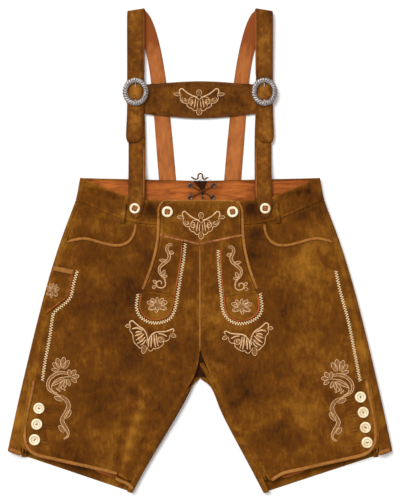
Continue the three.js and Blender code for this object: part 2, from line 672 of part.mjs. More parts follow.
const LOOPS = [
  { name: 'left', from: [-138.2, 86], to: [-142.5, 50] },
  { name: 'right', from: [138.2, 90], to: [143, 50] },
];
const LOOP_WIDTH = 8;
const LOOP_HEADROOM = 4.6;   // clear height under the loop
for (const loop of LOOPS) {
  const stations = stationsOnBody(line([loop.from, loop.to]), 8, SEAM);
  stations.forEach((station, i) => {
    const t = i / (stations.length - 1);
    station.at.z += LOOP_HEADROOM * smooth(0, 0.25, t) * (1 - smooth(0.75, 1, t));
  });
  const flatSection = () => [
    [-LOOP_WIDTH / 2, 0], [-LOOP_WIDTH / 2, 1.6], [LOOP_WIDTH / 2, 1.6], [LOOP_WIDTH / 2, 0]];
  add(`belt_loop_${loop.name}`, sweep(stations, flatSection), materials.suede);
}

// ---------------------------------------------------------------- straps

const STRAP_X = 118;          // middle of the front strap
const STRAP_TIP_Y = 58.6;
const STRAP_TOP_Y = 445;      // where the strap folds over the shoulder
const BUCKLE_Y = 290.5;
const TAB_END_Y = 198;
const CHEST_BASE = 2.6;       // underside of the chest band
const LOWER_STRAP_BASE = CHEST_BASE + 2 + 0.5;
const UPPER_STRAP_BASE = LOWER_STRAP_BASE + UNDER + 0.2;
const TURN_TILT = THREE.MathUtils.degToRad(9);

// A strap's rectangular section, standing on its stations, of a given width.
const strapSection = (widthAt) => (t) => {
  const half = widthAt(t) / 2;
  return [[-half, 0], [-half, SUEDE], [half, SUEDE], [half, 0]];
};

for (const { name, sign } of SIDES) {
  const ys = [STRAP_TIP_Y, 62, 68, 74, 80, 95, 110, 125, 140, 155, 170, 190, 210, 235, 260, 276];
  const strapX = (y) => sign * (STRAP_X - 2.5 * smooth(80, 92, y) + 2.5 * smooth(200, 280, y));
  const lowStations = ys.map((y) => {
    const onBody = frontHeight(sign * STRAP_X, Math.min(y, 90)) + SEAM;
    return {
      at: point(strapX(y), y, mix(onBody, LOWER_STRAP_BASE, smooth(92, 188, y))),
      side: point(-1, 0, 0),
      up: point(0, 0, 1),
    };
  });
  const pointed = (t) => {
    const y = ys[Math.round(t * (ys.length - 1))];
    return y >= 80 ? STRAP_WIDTH : mix(5, STRAP_WIDTH, Math.sqrt((y - STRAP_TIP_Y) / (80 - STRAP_TIP_Y)));
  };
  add(`front_strap_${name}`, sweep(lowStations, strapSection(pointed)), materials.suede);
}

// Middle line and width of the strap on the back, from the shoulder down to the waistband.
// Above the chest band the real strap twists a little on edge; here it is a narrower flat strip.
const BACK_STRAP = [
  { y: 428, x: 108, width: 31 }, { y: 412, x: 99.5, width: 30.5 }, { y: 392, x: 92.5, width: 29 },
  { y: 370, x: 86.3, width: 27.5 }, { y: 345, x: 81, width: 27 }, { y: 312, x: 76.3, width: 27.5 },
  { y: 275, x: 72.5, width: 28.5 }, { y: 242, x: 69.3, width: 29.5 }, { y: 190, x: 64.8, width: 31 },
  { y: 150, x: 61.5, width: 31 }, { y: 124, x: 59.5, width: 31 }, { y: 106, x: 58, width: 31 },
];
const TAB_END = [{ width: 17, lean: 6 }, { width: 24, lean: 3.6 }];   // the cut of the free end
const TAB_LEAN = 2.4;         // how far the free end swings outwards

for (const { name, sign } of SIDES) {
  const turnRadius = 6;
  const stations = [];
  const station = (at, side, up) => stations.push({ at, side: side.normalize(), up: up.normalize() });
  const frontYs = [TAB_END_Y, 201, 206, 220, 245, 268, 280, 291, 302, 316, 340, 375, 405, 430];
  const topBase = 2 * turnRadius + 0.2;
  for (const y of frontYs) {
    const settled = y < 240 ? 0.3 * smooth(240, 200, y) : 0;
    const base = mix(UPPER_STRAP_BASE, topBase - SUEDE, smooth(300, 425, y)) + settled;
    const lean = TAB_END[stations.length]?.lean ?? TAB_LEAN * smooth(262, 206, y);
    station(point(sign * (STRAP_X + lean), y, base), point(-1, 0, 0), point(0, 0, 1));
  }
  // The turn over the shoulder winds round a tilted axis, so that the strap leaves inwards.
  const axis = point(-Math.cos(TURN_TILT), sign * Math.sin(TURN_TILT), 0);
  const ahead = point(sign * Math.sin(TURN_TILT), Math.cos(TURN_TILT), 0);
  const middle = point(sign * STRAP_X, STRAP_TOP_Y - turnRadius - 3, turnRadius + 0.1);
  const drift = Math.PI * turnRadius * Math.tan(TURN_TILT);
  const inner = turnRadius - SUEDE;
  for (const t of steps(6)) {
    const angle = Math.PI * t;
    const out = ahead.clone().multiplyScalar(Math.sin(angle)).add(point(0, 0, Math.cos(angle)));
    const at = middle.clone().addScaledVector(out, inner)
      .addScaledVector(axis, sign * drift * t);
    station(at, axis.clone(), out);
  }
  BACK_STRAP.forEach(({ x, y }, i) => {
    const before = BACK_STRAP[Math.max(0, i - 1)];
    const after = BACK_STRAP[Math.min(BACK_STRAP.length - 1, i + 1)];
    const run = point(sign * (after.x - before.x), after.y - before.y, 0).normalize();
    station(point(sign * x, y, SUEDE + 0.1), point(run.y, -run.x, 0), point(0, 0, -1));
  });
  const firstBack = stations.length - BACK_STRAP.length;
  const widthAt = (t) => {
    const i = Math.round(t * (stations.length - 1));
    return (TAB_END[i] ?? BACK_STRAP[i - firstBack])?.width ?? STRAP_WIDTH;
  };
  add(`shoulder_strap_${name}`, sweep(stations, strapSection(widthAt)), materials.suede);
}

{
  const chest = {
    top: line([[-112, 303], [-62, 308], [0, 311.5], [62, 308], [112, 303]]),
    bottom: line([[-112, 253], [-57, 246.5], [0, 241.5], [57, 246], [112, 252]]),
    inner: line([[-112, 303], [-112, 253]]),
    outer: line([[112, 303], [112, 252]]),
  };
  add('chest_band', patch(chest, steps(4), steps(14), CHEST_BASE, 2, () => 0), materials.suede);
}

// ---------------------------------------------------------------- metal and horn

const BUCKLE_WIDTH = 47;
const BUCKLE_HEIGHT = 52;
const RIM = 7.5;
for (const { name, sign } of SIDES) {
  const base = UPPER_STRAP_BASE + SUEDE + 0.5;
  const outer = BUCKLE_WIDTH / 2;
  const rimProfile = [[outer - RIM, 0], [outer, 0], [outer, 1.4], [outer - 1.6, 3],
    [outer - RIM / 2, 3.8], [outer - RIM + 1.4, 3], [outer - RIM, 1.4], [outer - RIM, 0]];
  const place = point(sign * STRAP_X, BUCKLE_Y, base);
  add(`buckle_${name}`, turned(rimProfile, 32, place, BUCKLE_HEIGHT / BUCKLE_WIDTH), materials.silver);
  const prong = new THREE.CapsuleGeometry(1.3, 6, 2, 8);
  prong.translate(sign * STRAP_X, BUCKLE_Y + 12.3, base + 1.3);
  add(`buckle_prong_${name}`, prong, materials.silver);
}

// A dished button with a low shank under it.
const buttonProfile = (radius) => [
  [0, 0], [3, 0], [3, 0.8], [radius - 1.6, 1.2], [radius, 2.8], [radius - 1.4, 4],
  [radius - 4, 3], [0, 2.8],
];
const button = (name, x, y, surface, radius) => (
  add(name, turned(buttonProfile(radius), 18, point(x, y, surface + SEAM)), materials.horn));

const LEG_BUTTON = 10.5;
const LEG_BUTTONS = {
  left: [[-294, -288], [-298, -317], [-302, -345.5]],
  right: [[293, -267.5], [298, -295.5], [302, -323], [305, -350.5]],
};
for (const { name, sign } of SIDES) {
  const strapTop = frontHeight(sign * STRAP_X, 77) + SEAM + SUEDE;
  button(`strap_button_${name}`, sign * 119, 76.8, strapTop, 10);
  const yokeTop = frontHeight(sign * 60, 71) + FLAP_LIFT + SUEDE;
  button(`flap_button_${name}`, sign * 59.5, 70.5, yokeTop, 10.5);
  LEG_BUTTONS[name].forEach(([x, y], i) => {
    button(`leg_button_${name}_${i + 1}`, x, y, frontHeight(x, y) + 0.1, LEG_BUTTON);
  });
}

export default lederhosen;
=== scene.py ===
# %% [markdown]
# Lederhosen are short breeches of soft suede. Here they lie flat, front side up, with the
# shoulder straps pulled straight. The solid frame gives every piece its place; this lesson
# gives each piece its surface: leather with a nap, rolled piping, thread, horn and silver.

# %% The frame, the units and the size of the garment
import math

import bmesh
import bpy
from mathutils import Matrix, Vector, kdtree, noise
from mathutils.bvhtree import BVHTree


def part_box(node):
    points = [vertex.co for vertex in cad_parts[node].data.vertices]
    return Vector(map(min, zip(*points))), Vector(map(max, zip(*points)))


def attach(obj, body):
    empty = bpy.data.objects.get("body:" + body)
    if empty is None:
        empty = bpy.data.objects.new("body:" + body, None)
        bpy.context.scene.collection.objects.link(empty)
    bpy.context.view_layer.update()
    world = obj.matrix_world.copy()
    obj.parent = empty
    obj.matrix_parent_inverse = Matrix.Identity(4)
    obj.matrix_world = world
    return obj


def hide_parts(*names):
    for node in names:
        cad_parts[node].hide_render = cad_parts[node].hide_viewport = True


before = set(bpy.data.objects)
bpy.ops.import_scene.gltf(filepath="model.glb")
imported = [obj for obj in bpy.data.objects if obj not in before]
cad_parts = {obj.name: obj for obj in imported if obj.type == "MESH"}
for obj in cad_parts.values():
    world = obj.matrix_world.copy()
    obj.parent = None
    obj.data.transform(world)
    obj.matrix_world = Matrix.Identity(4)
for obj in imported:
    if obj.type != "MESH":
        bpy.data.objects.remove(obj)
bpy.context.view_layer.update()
MM = 0.001
SIDES = {"left": -1, "right": 1}

# %% [markdown]
# The camera looks straight down on the garment, which lies flat on the floor. A long lens far
# away keeps the outline true. The picture is taller than wide, so the sensor's long side is
# its height. The floor is pale, the sky gives most of the light, and one soft sun from the
# upper left lets the folds and the piping cast a little shade.

# %% Camera, floor and light
VIEW_HEIGHT = 0.915     # metres of floor from the bottom of the picture to its top
VIEW_MIDDLE = 0.9 * MM
GARMENT_HEIGHT = 12 * MM
FLOOR_DROP = 0.4 * MM
FLOOR_HALF = 6
LENS = 100
SENSOR = 36
SUN_DIRECTION = (-0.42, 0.52, 1.0)
camera_data = bpy.data.cameras.new("camera")
camera_data.lens = LENS
camera_data.sensor_width = SENSOR
camera = bpy.data.objects.new("camera", camera_data)
camera.location = (0, VIEW_MIDDLE, VIEW_HEIGHT * LENS / SENSOR + GARMENT_HEIGHT)
bpy.context.collection.objects.link(camera)
bpy.context.scene.camera = camera
bpy.context.scene.view_settings.view_transform = "Standard"

floor_mesh = bpy.data.meshes.new("floor")
floor_builder = bmesh.new()
bmesh.ops.create_grid(floor_builder, x_segments=1, y_segments=1, size=FLOOR_HALF)
floor_builder.to_mesh(floor_mesh)
floor_builder.free()
floor_mesh.transform(Matrix.Translation((0, 0, -FLOOR_DROP)))
floor = bpy.data.objects.new("floor", floor_mesh)
bpy.context.collection.objects.link(floor)

sun_data = bpy.data.lights.new("sun", "SUN")
sun_data.energy = 2.5
sun_data.angle = math.radians(30)
sun = bpy.data.objects.new("sun", sun_data)
sun.rotation_euler = Vector(SUN_DIRECTION).to_track_quat("Z", "Y").to_euler()
bpy.context.collection.objects.link(sun)

world = bpy.data.worlds.new("studio")
world.use_nodes = True
sky = world.node_tree.nodes["Background"]
sky.inputs["Color"].default_value = (1, 0.995, 0.985, 1)
sky.inputs["Strength"].default_value = 0.62
bpy.context.scene.world = world

# %% [markdown]
# The lace is a leather thong about 3 mm thick. It goes in by one upper eyelet, crosses, and
# passes behind, so its route is a short list of given places. A curve with a round
# bevel is the plainest way to keep a cord's true length.

# %% The lace and its tie
LACE_THICKNESS = 2.8 * MM
LACE_ROUTE = [
    (-23.5, 120.6, 1.8), (-19.4, 119.7, 1.9), (-17.4, 119, 3.8), (-17.4, 119, 6.6),
    (-16.2, 118.4, 9.4), (-13, 116.7, 10.2), (-7, 113.5, 10.4), (3, 108.2, 9.2), (13, 103, 10.4),
    (19.6, 99.6, 10.2), (22.3, 98.1, 9.4), (23.2, 97.6, 6.6), (23.2, 97.6, 3.8),
    (20.8, 97.5, 1.9), (12, 97.4, 1.8), (-5, 97.4, 1.8), (-15, 97.5, 1.9), (-17.4, 97.6, 3.8),
    (-17.4, 97.6, 6.6), (-16.4, 98.1, 9.4), (-13.4, 99.6, 10.2), (-6, 103.4, 11.2),
    (3, 108.2, 12.6), (13, 113.4, 11.2), (20, 116.9, 10.2), (23.2, 118.5, 9.4),
    (24.2, 119, 6.6), (24.2, 119, 3.8), (26.2, 119.7, 1.9), (30.2, 120.6, 1.8),
]
LACE_TIE_ROUTE = [
    (-16, 135, 9.4), (-12.5, 132.4, 9.2), (-8, 130.6, 9), (-4.2, 131.6, 9), (-3.6, 135, 9.2),
    (-3.2, 138.6, 9.5), (0.6, 141.2, 9.6), (4.4, 138.6, 9.5), (4.8, 135, 9.2),
    (5.6, 131.6, 9), (8.6, 130.4, 9), (12, 132.6, 9.2), (15.6, 133.6, 9.4),
]


def smooth_line(places, between):
    """A smooth (Catmull-Rom) line through the places, with steps between each two."""
    places = [places[0] * 2 - places[1]] + places + [places[-1] * 2 - places[-2]]
    line = []
    for a, b, c, d in zip(places, places[1:], places[2:], places[3:]):
        for step in range(between):
            t = step / between
            line.append(0.5 * (2 * b + (c - a) * t + (2 * a - 5 * b + 4 * c - d) * t * t
                               + (3 * b - a - 3 * c + d) * t ** 3))
    return line + [places[-2]]


def evaluated_mesh(obj):
    """The object's mesh with its modifiers applied; the object itself is removed."""
    bpy.context.collection.objects.link(obj)
    bpy.context.view_layer.update()
    graph = bpy.context.evaluated_depsgraph_get()
    mesh = bpy.data.meshes.new_from_object(obj.evaluated_get(graph), depsgraph=graph)
    bpy.data.objects.remove(obj)
    mesh.materials.clear()
    return mesh


def tube_mesh(name, lines, sides):
    """Round tubes as one mesh; a line is a list of places and radii, in metres."""
    data = bpy.data.curves.new(name, "CURVE")
    data.dimensions = "3D"
    data.bevel_depth = 1.0
    data.bevel_resolution = (sides - 4) // 2
    data.use_fill_caps = True
    for line in lines:
        spline = data.splines.new("POLY")
        spline.points.add(len(line) - 1)
        for spot, (place, radius) in zip(spline.points, line):
            spot.co = (*place, 1)
            spot.radius = radius
    return evaluated_mesh(bpy.data.objects.new("helper", data))


def cord_piece(name, route):
    line = smooth_line([Vector(p) * MM for p in route], 6)
    mesh = tube_mesh(name, [[(place, LACE_THICKNESS / 2) for place in line]], 10)
    obj = bpy.data.objects.new(name, mesh)
    bpy.context.collection.objects.link(obj)
    return obj, line, sum((b - a).length for a, b in zip(line, line[1:]))


lace, lace_line, lace_length = cord_piece("waist_lace", LACE_ROUTE)
lace_tie, tie_line, tie_length = cord_piece("waist_lace_tie", LACE_TIE_ROUTE)
for cord, node, line, length, end in (
        (lace, "lace", lace_line, lace_length, "object"),
        (lace_tie, "lace_bow", tie_line, tie_length, "bare")):
    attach(cord, "root")
    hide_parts(node)
print("lace, mm:", round(lace_length / MM), round(tie_length / MM))

# %% [markdown]
# Every material is made of the same few shader nodes, so one helper places a node, sets its
# values and joins its inputs. Colours are written as the eye sees them, from 0 to 255, and
# turned into the linear numbers that a shader works in.

# %% Helpers for materials
def colour(red, green, blue):
    def linear(value):
        share = value / 255
        return share / 12.92 if share <= 0.04045 else ((share + 0.055) / 1.055) ** 2.4
    return (linear(red), linear(green), linear(blue), 1)


def fill_inputs(tree, node, inputs):
    for key, value in inputs.items():
        if isinstance(value, bpy.types.NodeSocket):
            tree.links.new(value, node.inputs[key])
        else:
            node.inputs[key].default_value = value
    return node


def place_node(tree, kind, inputs=None, **settings):
    node = tree.nodes.new(kind)
    for key, value in settings.items():
        setattr(node, key, value)
    return fill_inputs(tree, node, inputs or {})


def painted(tree, name):
    """The value of an attribute that is painted on the mesh."""
    return place_node(tree, "ShaderNodeAttribute", attribute_name=name).outputs["Fac"]


def noise_texture(tree, place, scale, **inputs):
    names = {key.capitalize(): value for key, value in inputs.items()}
    return place_node(tree, "ShaderNodeTexNoise",
                      {"Vector": place, "Scale": scale, **names}).outputs[0]


def swing(tree, value, reach):
    """The value's distance from a half, times reach."""
    return maths(tree, "MULTIPLY", maths(tree, "SUBTRACT", value, 0.5), reach)


def spread_range(tree, value, low, high, to_low=0.0, to_high=1.0):
    return place_node(
        tree, "ShaderNodeMapRange", {0: value, 1: low, 2: high, 3: to_low, 4: to_high}).outputs[0]


def maths(tree, operation, a, b=0.5, clamp=False):
    node = place_node(tree, "ShaderNodeMath", {0: a, 1: b}, operation=operation, use_clamp=clamp)
    return node.outputs[0]


def blend_colours(tree, share, a, b, kind="MIX"):
    node = place_node(tree, "ShaderNodeMix", data_type="RGBA", blend_type=kind)
    return fill_inputs(tree, node, {0: share, 6: a, 7: b}).outputs[2]


def new_group(name, inputs, outputs):
    """A shader node group; inputs and outputs map a socket's name to its kind and default."""
    tree = bpy.data.node_groups.new(name, "ShaderNodeTree")
    kinds = {"colour": "NodeSocketColor", "number": "NodeSocketFloat", "vector": "NodeSocketVector"}
    for key, (kind, default) in inputs.items():
        socket = tree.interface.new_socket(key, in_out="INPUT", socket_type=kinds[kind])
        if default is not None:
            socket.default_value = default
    for key, kind in outputs.items():
        tree.interface.new_socket(key, in_out="OUTPUT", socket_type=kinds[kind])
    return tree, tree.nodes.new("NodeGroupInput"), tree.nodes.new("NodeGroupOutput")


# %% [markdown]
# Suede is the flesh side of the hide, brushed to a nap. It reflects no highlight, its colour
# wanders in soft clouds from dark brown to gold, and near its folds and cut edges the nap
# turns paler. Four noises give the clouds, the flecks, the brush marks and the fibres. Two
# painted attributes come with each piece: "edge" is strong near a cut edge, and the other
# holds broad patches of the leather's own tone together with painted shade and painted highlights.

# %% The nap group
nap, nap_in, nap_out = new_group(
    "suede_nap",
    {"Dark": ("colour", None), "Middle": ("colour", None), "Light": ("colour", None),
     "Cloud size": ("number", 8.0), "Contrast": ("number", 1.0), "Edge wear": ("number", 0.5)},
    {"Color": "colour", "Roughness": "number", "Height": "number"})
place = place_node(nap, "ShaderNodeTexCoord").outputs["Object"]
size = nap_in.outputs["Cloud size"]
clouds = noise_texture(nap, place, size, detail=3.0, roughness=0.6, distortion=0.7)
flecks = noise_texture(
    nap, place, maths(nap, "MULTIPLY", size, 5.5), detail=4.0, roughness=0.62, distortion=0.4)
brushed_place = place_node(nap, "ShaderNodeMapping", {
    "Vector": place, "Rotation": (0, 0, 0.5), "Scale": (1.0, 0.35, 1.0)}).outputs[0]
brushed = noise_texture(nap, brushed_place, 190.0, detail=4.0, roughness=0.7)
fibres = noise_texture(nap, place, 1500.0, detail=2.0, roughness=0.7)
mottle = maths(nap, "ADD", swing(nap, clouds, 1.9), swing(nap, flecks, 1.9))
mottle = maths(nap, "ADD", mottle, swing(nap, brushed, 1.3))
mottle = maths(nap, "MULTIPLY", mottle, nap_in.outputs["Contrast"])
# Added here: the leather's own tone, with painted shade and painted highlights.
mottle = maths(nap, "ADD", mottle, painted(nap, "shade_and_tone"))
worn = maths(nap, "MULTIPLY", painted(nap, "edge"), nap_in.outputs["Edge wear"])
mottle = maths(nap, "ADD", mottle, worn)
down = maths(nap, "MULTIPLY", mottle, -1.0, clamp=True)
up = maths(nap, "MULTIPLY", mottle, 1.0, clamp=True)
shade = blend_colours(nap, down, nap_in.outputs["Middle"], nap_in.outputs["Dark"])
shade = blend_colours(nap, up, shade, nap_in.outputs["Light"])
grain = spread_range(nap, fibres, 0.3, 0.7, 0.82, 1.16)
grain_colour = place_node(nap, "ShaderNodeCombineColor", {0: grain, 1: grain, 2: grain}).outputs[0]
shade = blend_colours(nap, 1.0, shade, grain_colour, "MULTIPLY")
nap.links.new(shade, nap_out.inputs["Color"])
nap.links.new(spread_range(nap, flecks, 0.3, 0.7, 0.8, 0.98), nap_out.inputs["Roughness"])
height = maths(
    nap, "ADD", maths(nap, "MULTIPLY", fibres, 0.35), maths(nap, "MULTIPLY", brushed, 0.7))
height = maths(nap, "ADD", height, maths(nap, "MULTIPLY", flecks, 1.1))
nap.links.new(height, nap_out.inputs["Height"])

# %% [markdown]
# Smooth leather, as in the lining, the piping and the lace, is the grain side: fine pores,
# a few stretched wrinkles and a low shine. Its group gives the same three outputs, so the
# two kinds of leather are used in the same way.

# %% The hide group
hide, hide_in, hide_out = new_group(
    "smooth_hide",
    {"Dark": ("colour", None), "Light": ("colour", None), "Patch size": ("number", 20.0),
     "Wrinkle turn": ("vector", (0, 0, 0)), "Wrinkle stretch": ("vector", (1, 1, 1))},
    {"Color": "colour", "Roughness": "number", "Height": "number"})
place = place_node(hide, "ShaderNodeTexCoord").outputs["Object"]
patches = noise_texture(hide, place, hide_in.outputs["Patch size"], detail=4.0)
turned_place = place_node(hide, "ShaderNodeMapping", {
    "Vector": place, "Rotation": hide_in.outputs["Wrinkle turn"],
    "Scale": hide_in.outputs["Wrinkle stretch"]}).outputs[0]
wrinkles = noise_texture(hide, turned_place, 160.0, detail=3.0, distortion=0.6)
pores = place_node(hide, "ShaderNodeTexVoronoi", {"Vector": place, "Scale": 1300.0}).outputs[0]
share = maths(
    hide, "ADD", maths(hide, "MULTIPLY", patches, 0.9), maths(hide, "MULTIPLY", wrinkles, 0.9))
share = maths(hide, "SUBTRACT", share, 0.42)
# A painted attribute adds painted shade here; only the straps carry it, near their fold.
share = maths(hide, "ADD", share, painted(hide, "shade"))
share = maths(hide, "SUBTRACT", share, maths(hide, "MULTIPLY", painted(hide, "edge"), 0.25),
              clamp=True)
shade = blend_colours(hide, share, hide_in.outputs["Dark"], hide_in.outputs["Light"])
hide.links.new(shade, hide_out.inputs["Color"])
hide.links.new(spread_range(hide, wrinkles, 0.3, 0.7, 0.5, 0.75), hide_out.inputs["Roughness"])
height = maths(hide, "ADD", wrinkles, maths(hide, "MULTIPLY", pores, 0.25))
hide.links.new(height, hide_out.inputs["Height"])

# %% [markdown]
# Now the finishes themselves. Each material keeps its own Principled BSDF; the groups only
# feed it colour, roughness and the height for a bump. Values that are the same all over,
# such as the sheen of suede, are set on the shader.

# %% Leather materials
def leather(name, group, values, bump, sheen=0.0, specular=0.06):
    material = bpy.data.materials.new(name)
    material.use_nodes = True
    tree = material.node_tree
    shader = tree.nodes["Principled BSDF"]
    node = place_node(tree, "ShaderNodeGroup", node_tree=group)
    for key, value in values.items():
        node.inputs[key].default_value = value
    strength, depth = bump
    relief = place_node(tree, "ShaderNodeBump", {
        "Height": node.outputs["Height"], "Strength": strength, "Distance": depth})
    fill_inputs(tree, shader, {
        "Base Color": node.outputs["Color"], "Roughness": node.outputs["Roughness"],
        "Normal": relief.outputs[0], "Specular IOR Level": specular, "Sheen Weight": sheen,
        "Sheen Roughness": 0.55, "Sheen Tint": (1.0, 0.62, 0.3, 1)})
    return material


SUEDE_DARK = colour(52, 24, 4)
SUEDE_MIDDLE = colour(99, 55, 9)
SUEDE_LIGHT = colour(146, 94, 26)
suede = leather("suede", nap, {
    "Dark": SUEDE_DARK, "Middle": SUEDE_MIDDLE, "Light": SUEDE_LIGHT,
    "Cloud size": 8.0, "Contrast": 1.0, "Edge wear": 0.35}, (0.45, 0.0008), sheen=0.04)
strap_suede = leather("strap_suede", nap, {
    "Dark": colour(62, 31, 6), "Middle": colour(108, 62, 16), "Light": colour(158, 102, 36),
    "Cloud size": 14.0, "Contrast": 1.05, "Edge wear": -0.5}, (0.4, 0.0006), sheen=0.04)
# A near-black suede that stands in for deep shade: painted shade.
dark_suede = leather("dark_suede", nap, {
    "Dark": colour(26, 12, 4), "Middle": colour(48, 22, 8), "Light": colour(84, 44, 18),
    "Cloud size": 30.0, "Contrast": 0.8, "Edge wear": 0.2}, (0.4, 0.0006), sheen=0.1)
lining = leather("lining", hide, {
    "Dark": colour(92, 36, 8), "Light": colour(200, 112, 48), "Patch size": 26.0,
    "Wrinkle turn": (0, 0, 0.12), "Wrinkle stretch": (0.18, 1.0, 1.0)}, (0.8, 0.0012))
strap_inside = leather("strap_inside", hide, {
    "Dark": colour(132, 68, 28), "Light": colour(192, 118, 62), "Patch size": 30.0,
    "Wrinkle turn": (0, 0, 0.1), "Wrinkle stretch": (1.0, 0.25, 1.0)}, (0.4, 0.0006))
piping = leather("piping", hide, {
    "Dark": colour(112, 64, 22), "Light": colour(184, 124, 60), "Patch size": 34.0,
    "Wrinkle turn": (0, 0, 0.7), "Wrinkle stretch": (1.0, 1.0, 1.0)}, (0.5, 0.0006))
lace_leather = leather("lace_leather", hide, {
    "Dark": colour(40, 18, 8), "Light": colour(124, 74, 42), "Patch size": 90.0,
    "Wrinkle turn": (0, 0, 0.5), "Wrinkle stretch": (0.6, 1.0, 1.0)}, (0.6, 0.0005))
for cord in (lace, lace_tie):
    cord.data.materials.clear()
    cord.data.materials.append(lace_leather)

# %% [markdown]
# Threads, horn and metal are plainer: one noise for uneven dye, and for the hard pieces an
# attribute that darkens the hollows, tarnish on the silver and painted shade on the horn.

# %% Thread, horn, silver and floor materials
def plain_material(name, low, high, scale, roughness, metallic=0.0, tarnish_and_shade=None,
                   bump=(0.3, 0.0003), turns=0.0):
    """turns is how deep the grooves are that the thread's twist leaves."""
    material = bpy.data.materials.new(name)
    material.use_nodes = True
    tree = material.node_tree
    shader = tree.nodes["Principled BSDF"]
    place = place_node(tree, "ShaderNodeTexCoord").outputs["Object"]
    cloud = noise_texture(tree, place, scale, detail=4.0, roughness=0.6)
    shade = blend_colours(tree, spread_range(tree, cloud, 0.35, 0.65), low, high)
    if tarnish_and_shade:
        shade = blend_colours(tree, painted(tree, "tarnish_and_shade"), shade, tarnish_and_shade)
    height = cloud
    if turns:
        groove = maths(tree, "SINE", maths(tree, "MULTIPLY", painted(tree, "wrap"), 2 * math.pi))
        height = maths(tree, "ADD", cloud, maths(tree, "MULTIPLY", groove, turns))
    relief = place_node(
        tree, "ShaderNodeBump", {"Height": height, "Strength": bump[0], "Distance": bump[1]})
    fill_inputs(tree, shader, {
        "Base Color": shade, "Metallic": metallic, "Normal": relief.outputs[0],
        "Roughness": spread_range(tree, cloud, 0.3, 0.7, roughness * 0.85, roughness * 1.15),
        "Specular IOR Level": 0.5 if metallic or roughness < 0.5 else 0.15})
    return material


embroidery_cord = plain_material(
    "embroidery_cord", colour(186, 140, 92), colour(236, 200, 154), 420, 0.65, turns=0.3)
embroidery_fill = plain_material(
    "embroidery_fill", colour(108, 66, 28), colour(148, 102, 56), 500, 0.75, turns=0.3)
cream_thread = plain_material("cream_thread", colour(232, 196, 144), colour(255, 236, 192),
                              300, 0.7, turns=0.2)
brown_thread = plain_material("brown_thread", colour(96, 56, 20), colour(138, 88, 40), 300, 0.7)
rope_thread = plain_material("rope_thread", colour(146, 82, 42), colour(206, 142, 92), 120, 0.75)
hole_thread = plain_material("hole_thread", colour(62, 22, 6), colour(92, 38, 14), 300, 0.8)
red_edge = plain_material("red_edge", colour(150, 68, 28), colour(186, 96, 48), 160, 0.7)
horn = plain_material(
    "horn", colour(222, 198, 152), colour(250, 236, 204), 70, 0.3, tarnish_and_shade=colour(142, 96, 50))
dark_thread = plain_material("dark_thread", colour(34, 20, 10), colour(66, 40, 20), 400, 0.8)
knot_leather = plain_material("knot_leather", colour(112, 62, 26), colour(160, 100, 52), 260, 0.7)
silver = plain_material(
    "silver", colour(120, 112, 108), colour(176, 168, 162), 240, 0.42, metallic=0.8,
    tarnish_and_shade=colour(46, 38, 32), bump=(0.5, 0.0005))
nickel = plain_material(
    "nickel", colour(58, 52, 48), colour(110, 104, 98), 300, 0.35, metallic=0.9,
    tarnish_and_shade=colour(24, 20, 18))
floor_material = plain_material("pale_floor", (0.93, 0.93, 0.93, 1), (0.95, 0.95, 0.95, 1), 3, 0.9)
floor.data.materials.append(floor_material)

# %% [markdown]
# Laid out, the suede isn't quite flat: it swells where air is left inside, it draws in at
# the crotch, and soft folds run from the seat and the hips. One field of heights describes
# this for the whole front, so that a panel and whatever is sewn on it move together. Long
# troughs and ridges are listed, uneven in length and depth; a slow noise does the rest.

# %% The shape of the laid leather
FOLDS = [   # from x, y to x, y, then depth (negative) or height, and reach, all in mm
    (-8, -176, -66, -128, -1.6, 9), (10, -178, 74, -146, -1.5, 9), (-12, -196, -92, -176, -1.2, 10),
    (20, -204, 110, -188, -1.4, 11), (-118, 40, -128, -70, 0.9, 12),
    (-150, -40, -216, -92, -1.0, 13), (-200, -120, -160, -214, 0.9, 16),
    (-214, -210, -236, -350, -1.2, 12), (-101, -258, -140, -404, 1.7, 6),
    (-112, -250, -154, -392, -1.0, 7), (-150, -250, -172, -390, -1.5, 9),
    (120, -20, 190, -66, -0.9, 12), (196, -60, 250, -120, 0.8, 14),
    (150, -150, 166, -300, -1.2, 13), (206, -240, 226, -380, -1.3, 11),
    (92, -260, 120, -396, 1.2, 9), (128, -300, 150, -404, -1.4, 8),
    (-30, -20, -26, -150, -0.7, 8), (26, -30, 30, -150, -0.7, 8),
    (-208, 112, -132, 97, -1.7, 3.0), (-196, 103, -132, 91, -1.4, 2.8),
    (206, 110, 134, 97, -1.7, 3.0), (-258, -10, -236, 60, 0.8, 9), (262, -12, 240, 62, 0.8, 9),
    (-96, -196, -150, -232, 0.9, 10),
]


def smooth_step(low, high, value):
    t = min(1.0, max(0.0, (value - low) / (high - low)))
    return t * t * (3 - 2 * t)


def laid_height(x, y):
    """How far the front leather stands above its plain form at x, y, in metres."""
    lift = noise.fractal(Vector((x * 11, y * 9, 3.1)), 1.0, 2.0, 3) * 1.0
    lift += noise.noise(Vector((x * 46, y * 38, 9.7))) * 0.28
    u, v = x / MM, y / MM
    for x1, y1, x2, y2, depth, reach in FOLDS:
        dx, dy = x2 - x1, y2 - y1
        length = math.hypot(dx, dy)
        along = ((u - x1) * dx + (v - y1) * dy) / length ** 2
        if not -0.3 < along < 1.3:
            continue
        across = ((u - x1) * dy - (v - y1) * dx) / length
        fade = smooth_step(-0.3, 0.25, along) * (1 - smooth_step(0.7, 1.3, along))
        lift += depth * fade * math.exp(-(across / reach) ** 2)
    return lift * MM
